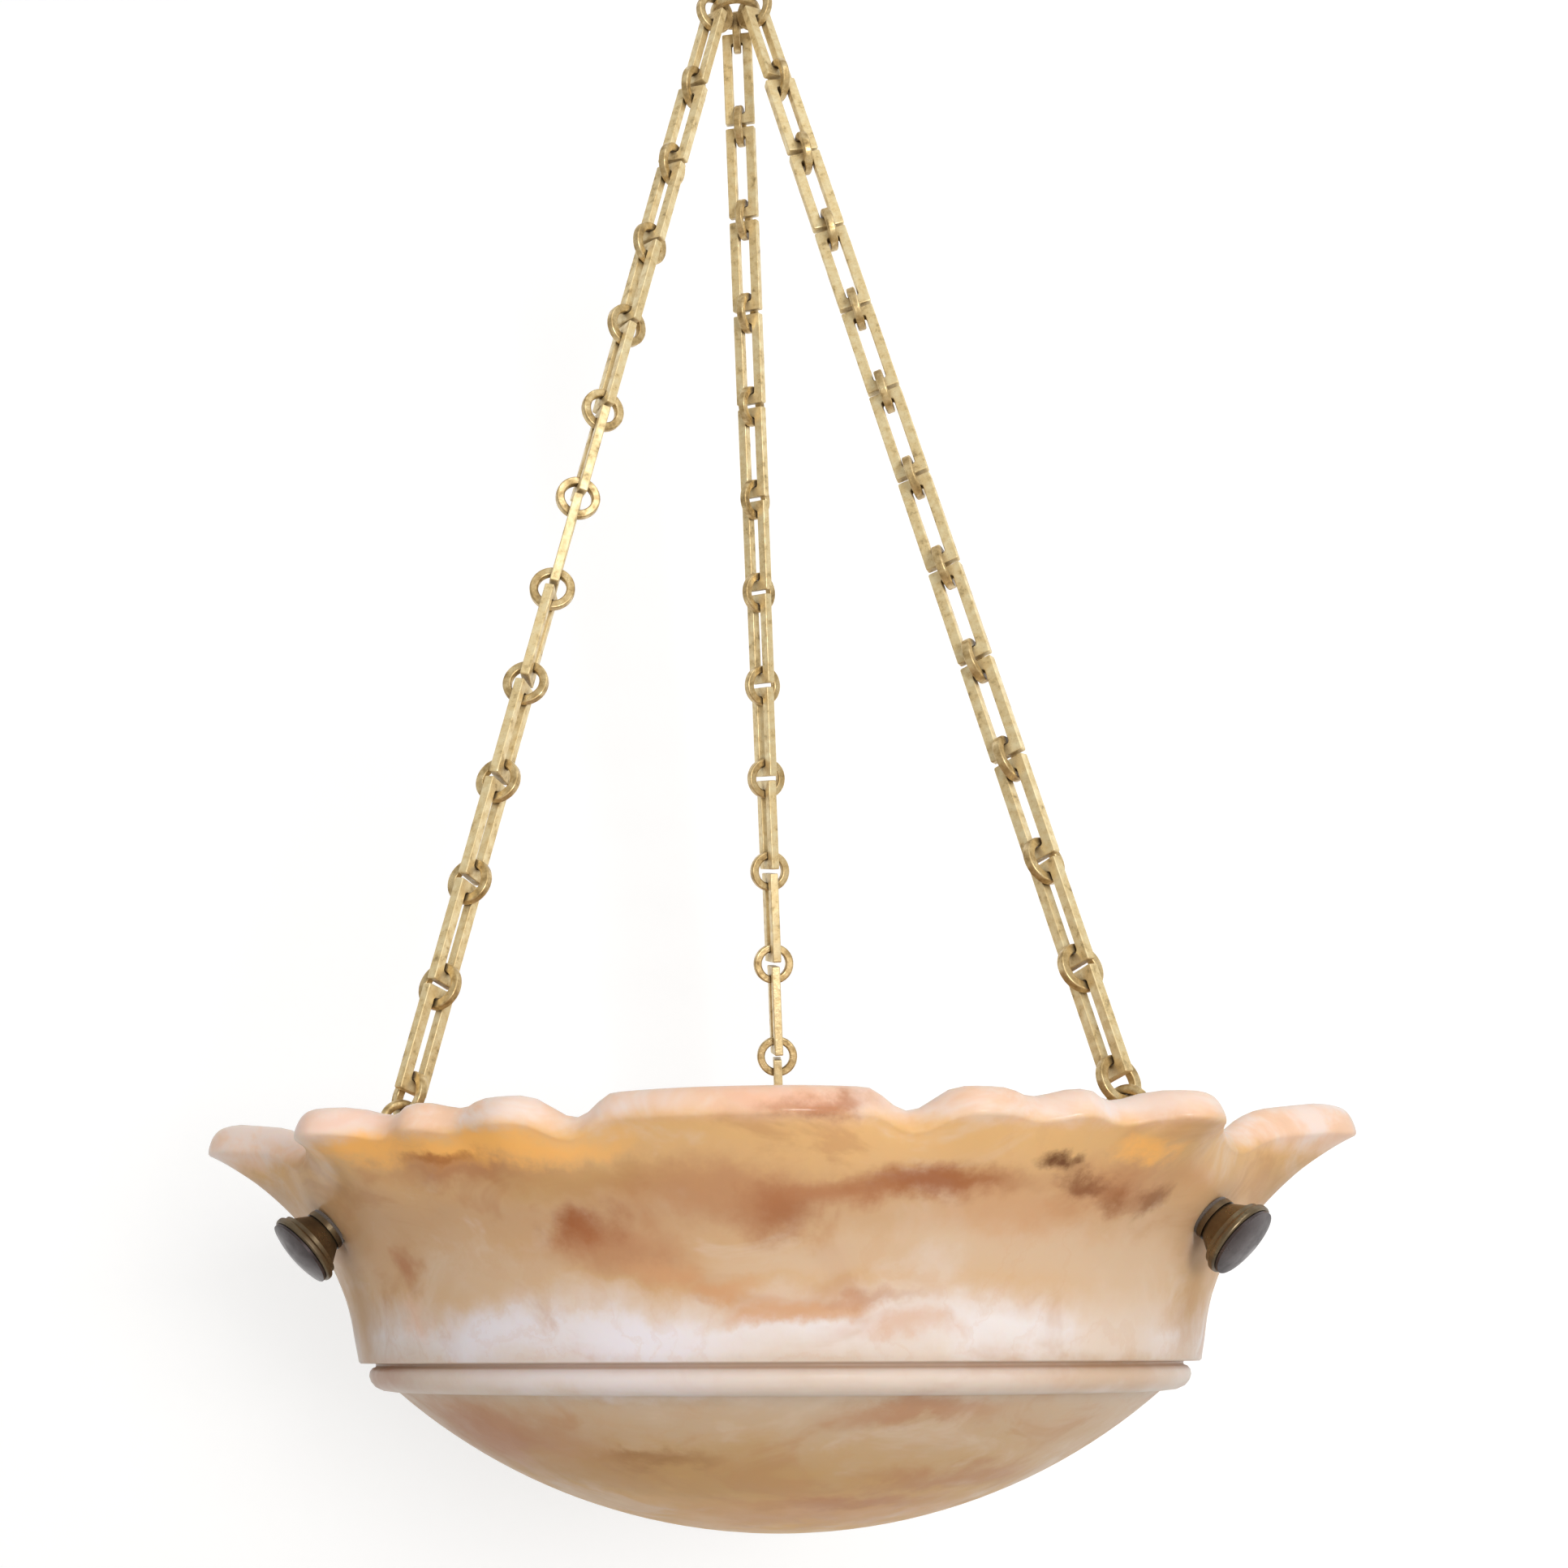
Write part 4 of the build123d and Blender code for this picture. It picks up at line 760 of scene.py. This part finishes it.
# ---------------------------------------------------------------- lampholder
# Black moulded shells, ring and cable bush, a white glazed porcelain insulator, and brass and steel
# contacts: an ordinary small lampholder with the cable inlet on top.
def moulding(name, colour, spread, roughness):
    """Moulded or glazed body: faint mottling and a soft orange-peel relief."""
    material, tree, output = new_material(name)
    place = tree.nodes.new("ShaderNodeTexCoord").outputs["Object"]
    cloud = node_in(tree, "ShaderNodeTexNoise", Scale=140.0, Detail=4.0)
    linked(tree, place, cloud.inputs["Vector"])
    low = tuple(max(0.0, c - spread) for c in colour) + (1,)
    high = tuple(min(1.0, c + spread) for c in colour) + (1,)
    tint = ramp_in(tree, ((0.35, low), (0.65, high)), cloud.outputs["Fac"])
    shader = node_in(tree, "ShaderNodeBsdfPrincipled", Roughness=roughness)
    linked(tree, range_in(tree, cloud.outputs["Fac"], 0.3, 0.7, roughness - 0.05, roughness + 0.08),
           shader.inputs["Roughness"])
    relief = node_in(tree, "ShaderNodeBump", Strength=0.08, Distance=0.0002)
    linked(tree, cloud.outputs["Fac"], relief.inputs["Height"])
    linked(tree, relief.outputs["Normal"], shader.inputs["Normal"])
    linked(tree, tint, shader.inputs["Base Color"])
    linked(tree, shader.outputs[0], output.inputs["Surface"])
    return material


black_moulding = moulding("black_moulding", (0.022, 0.020, 0.019), 0.006, 0.30)
dress(black_moulding, "holder_cover", "holder_body", "skirt_ring", "cable_bush")
dress(moulding("porcelain", (0.80, 0.79, 0.75), 0.02, 0.15), "holder_insulator")
zinc_plate = old_metal("zinc_plate", (0.72, 0.72, 0.70, 1), (0.55, 0.55, 0.54, 1), (0.25, 0.25, 0.24, 1),
                       0.35, 0.95, grain=300.0, pits=0.0001)
dress(zinc_plate, "terminal_screws")
dress(dull_brass, "thread_sleeve", "centre_contact")


# ---------------------------------------------------------------- lamp
# A small globe lamp: nickel screw cap with a brass tip, white plastic collar and an opal glass globe.
def opal_glass():
    """White opal glass: bright, softly translucent, with a clear gloss."""
    material, tree, output = new_material("opal_glass")
    place = tree.nodes.new("ShaderNodeTexCoord").outputs["Object"]
    haze = node_in(tree, "ShaderNodeTexNoise", Scale=60.0, Detail=2.0)
    linked(tree, place, haze.inputs["Vector"])
    tint = ramp_in(tree, ((0.3, (0.82, 0.81, 0.77, 1)), (0.7, (0.90, 0.89, 0.86, 1))), haze.outputs["Fac"])
    shader = node_in(tree, "ShaderNodeBsdfPrincipled", Roughness=0.12, IOR=1.5)
    shader.inputs["Subsurface Weight"].default_value = 0.3
    shader.inputs["Subsurface Scale"].default_value = 0.004
    shader.inputs["Coat Weight"].default_value = 0.5
    linked(tree, tint, shader.inputs["Base Color"])
    linked(tree, shader.outputs[0], output.inputs["Surface"])
    return material


nickel = old_metal("nickel", (0.80, 0.79, 0.76, 1), (0.70, 0.69, 0.66, 1), (0.40, 0.39, 0.37, 1),
                   0.22, 1.0, grain=250.0, pits=0.00005)
dress(nickel, "lamp_cap")
dress(dull_brass, "lamp_tip")
dress(moulding("white_moulding", (0.78, 0.78, 0.76), 0.02, 0.40), "lamp_collar")
dress(opal_glass(), "lamp_globe")
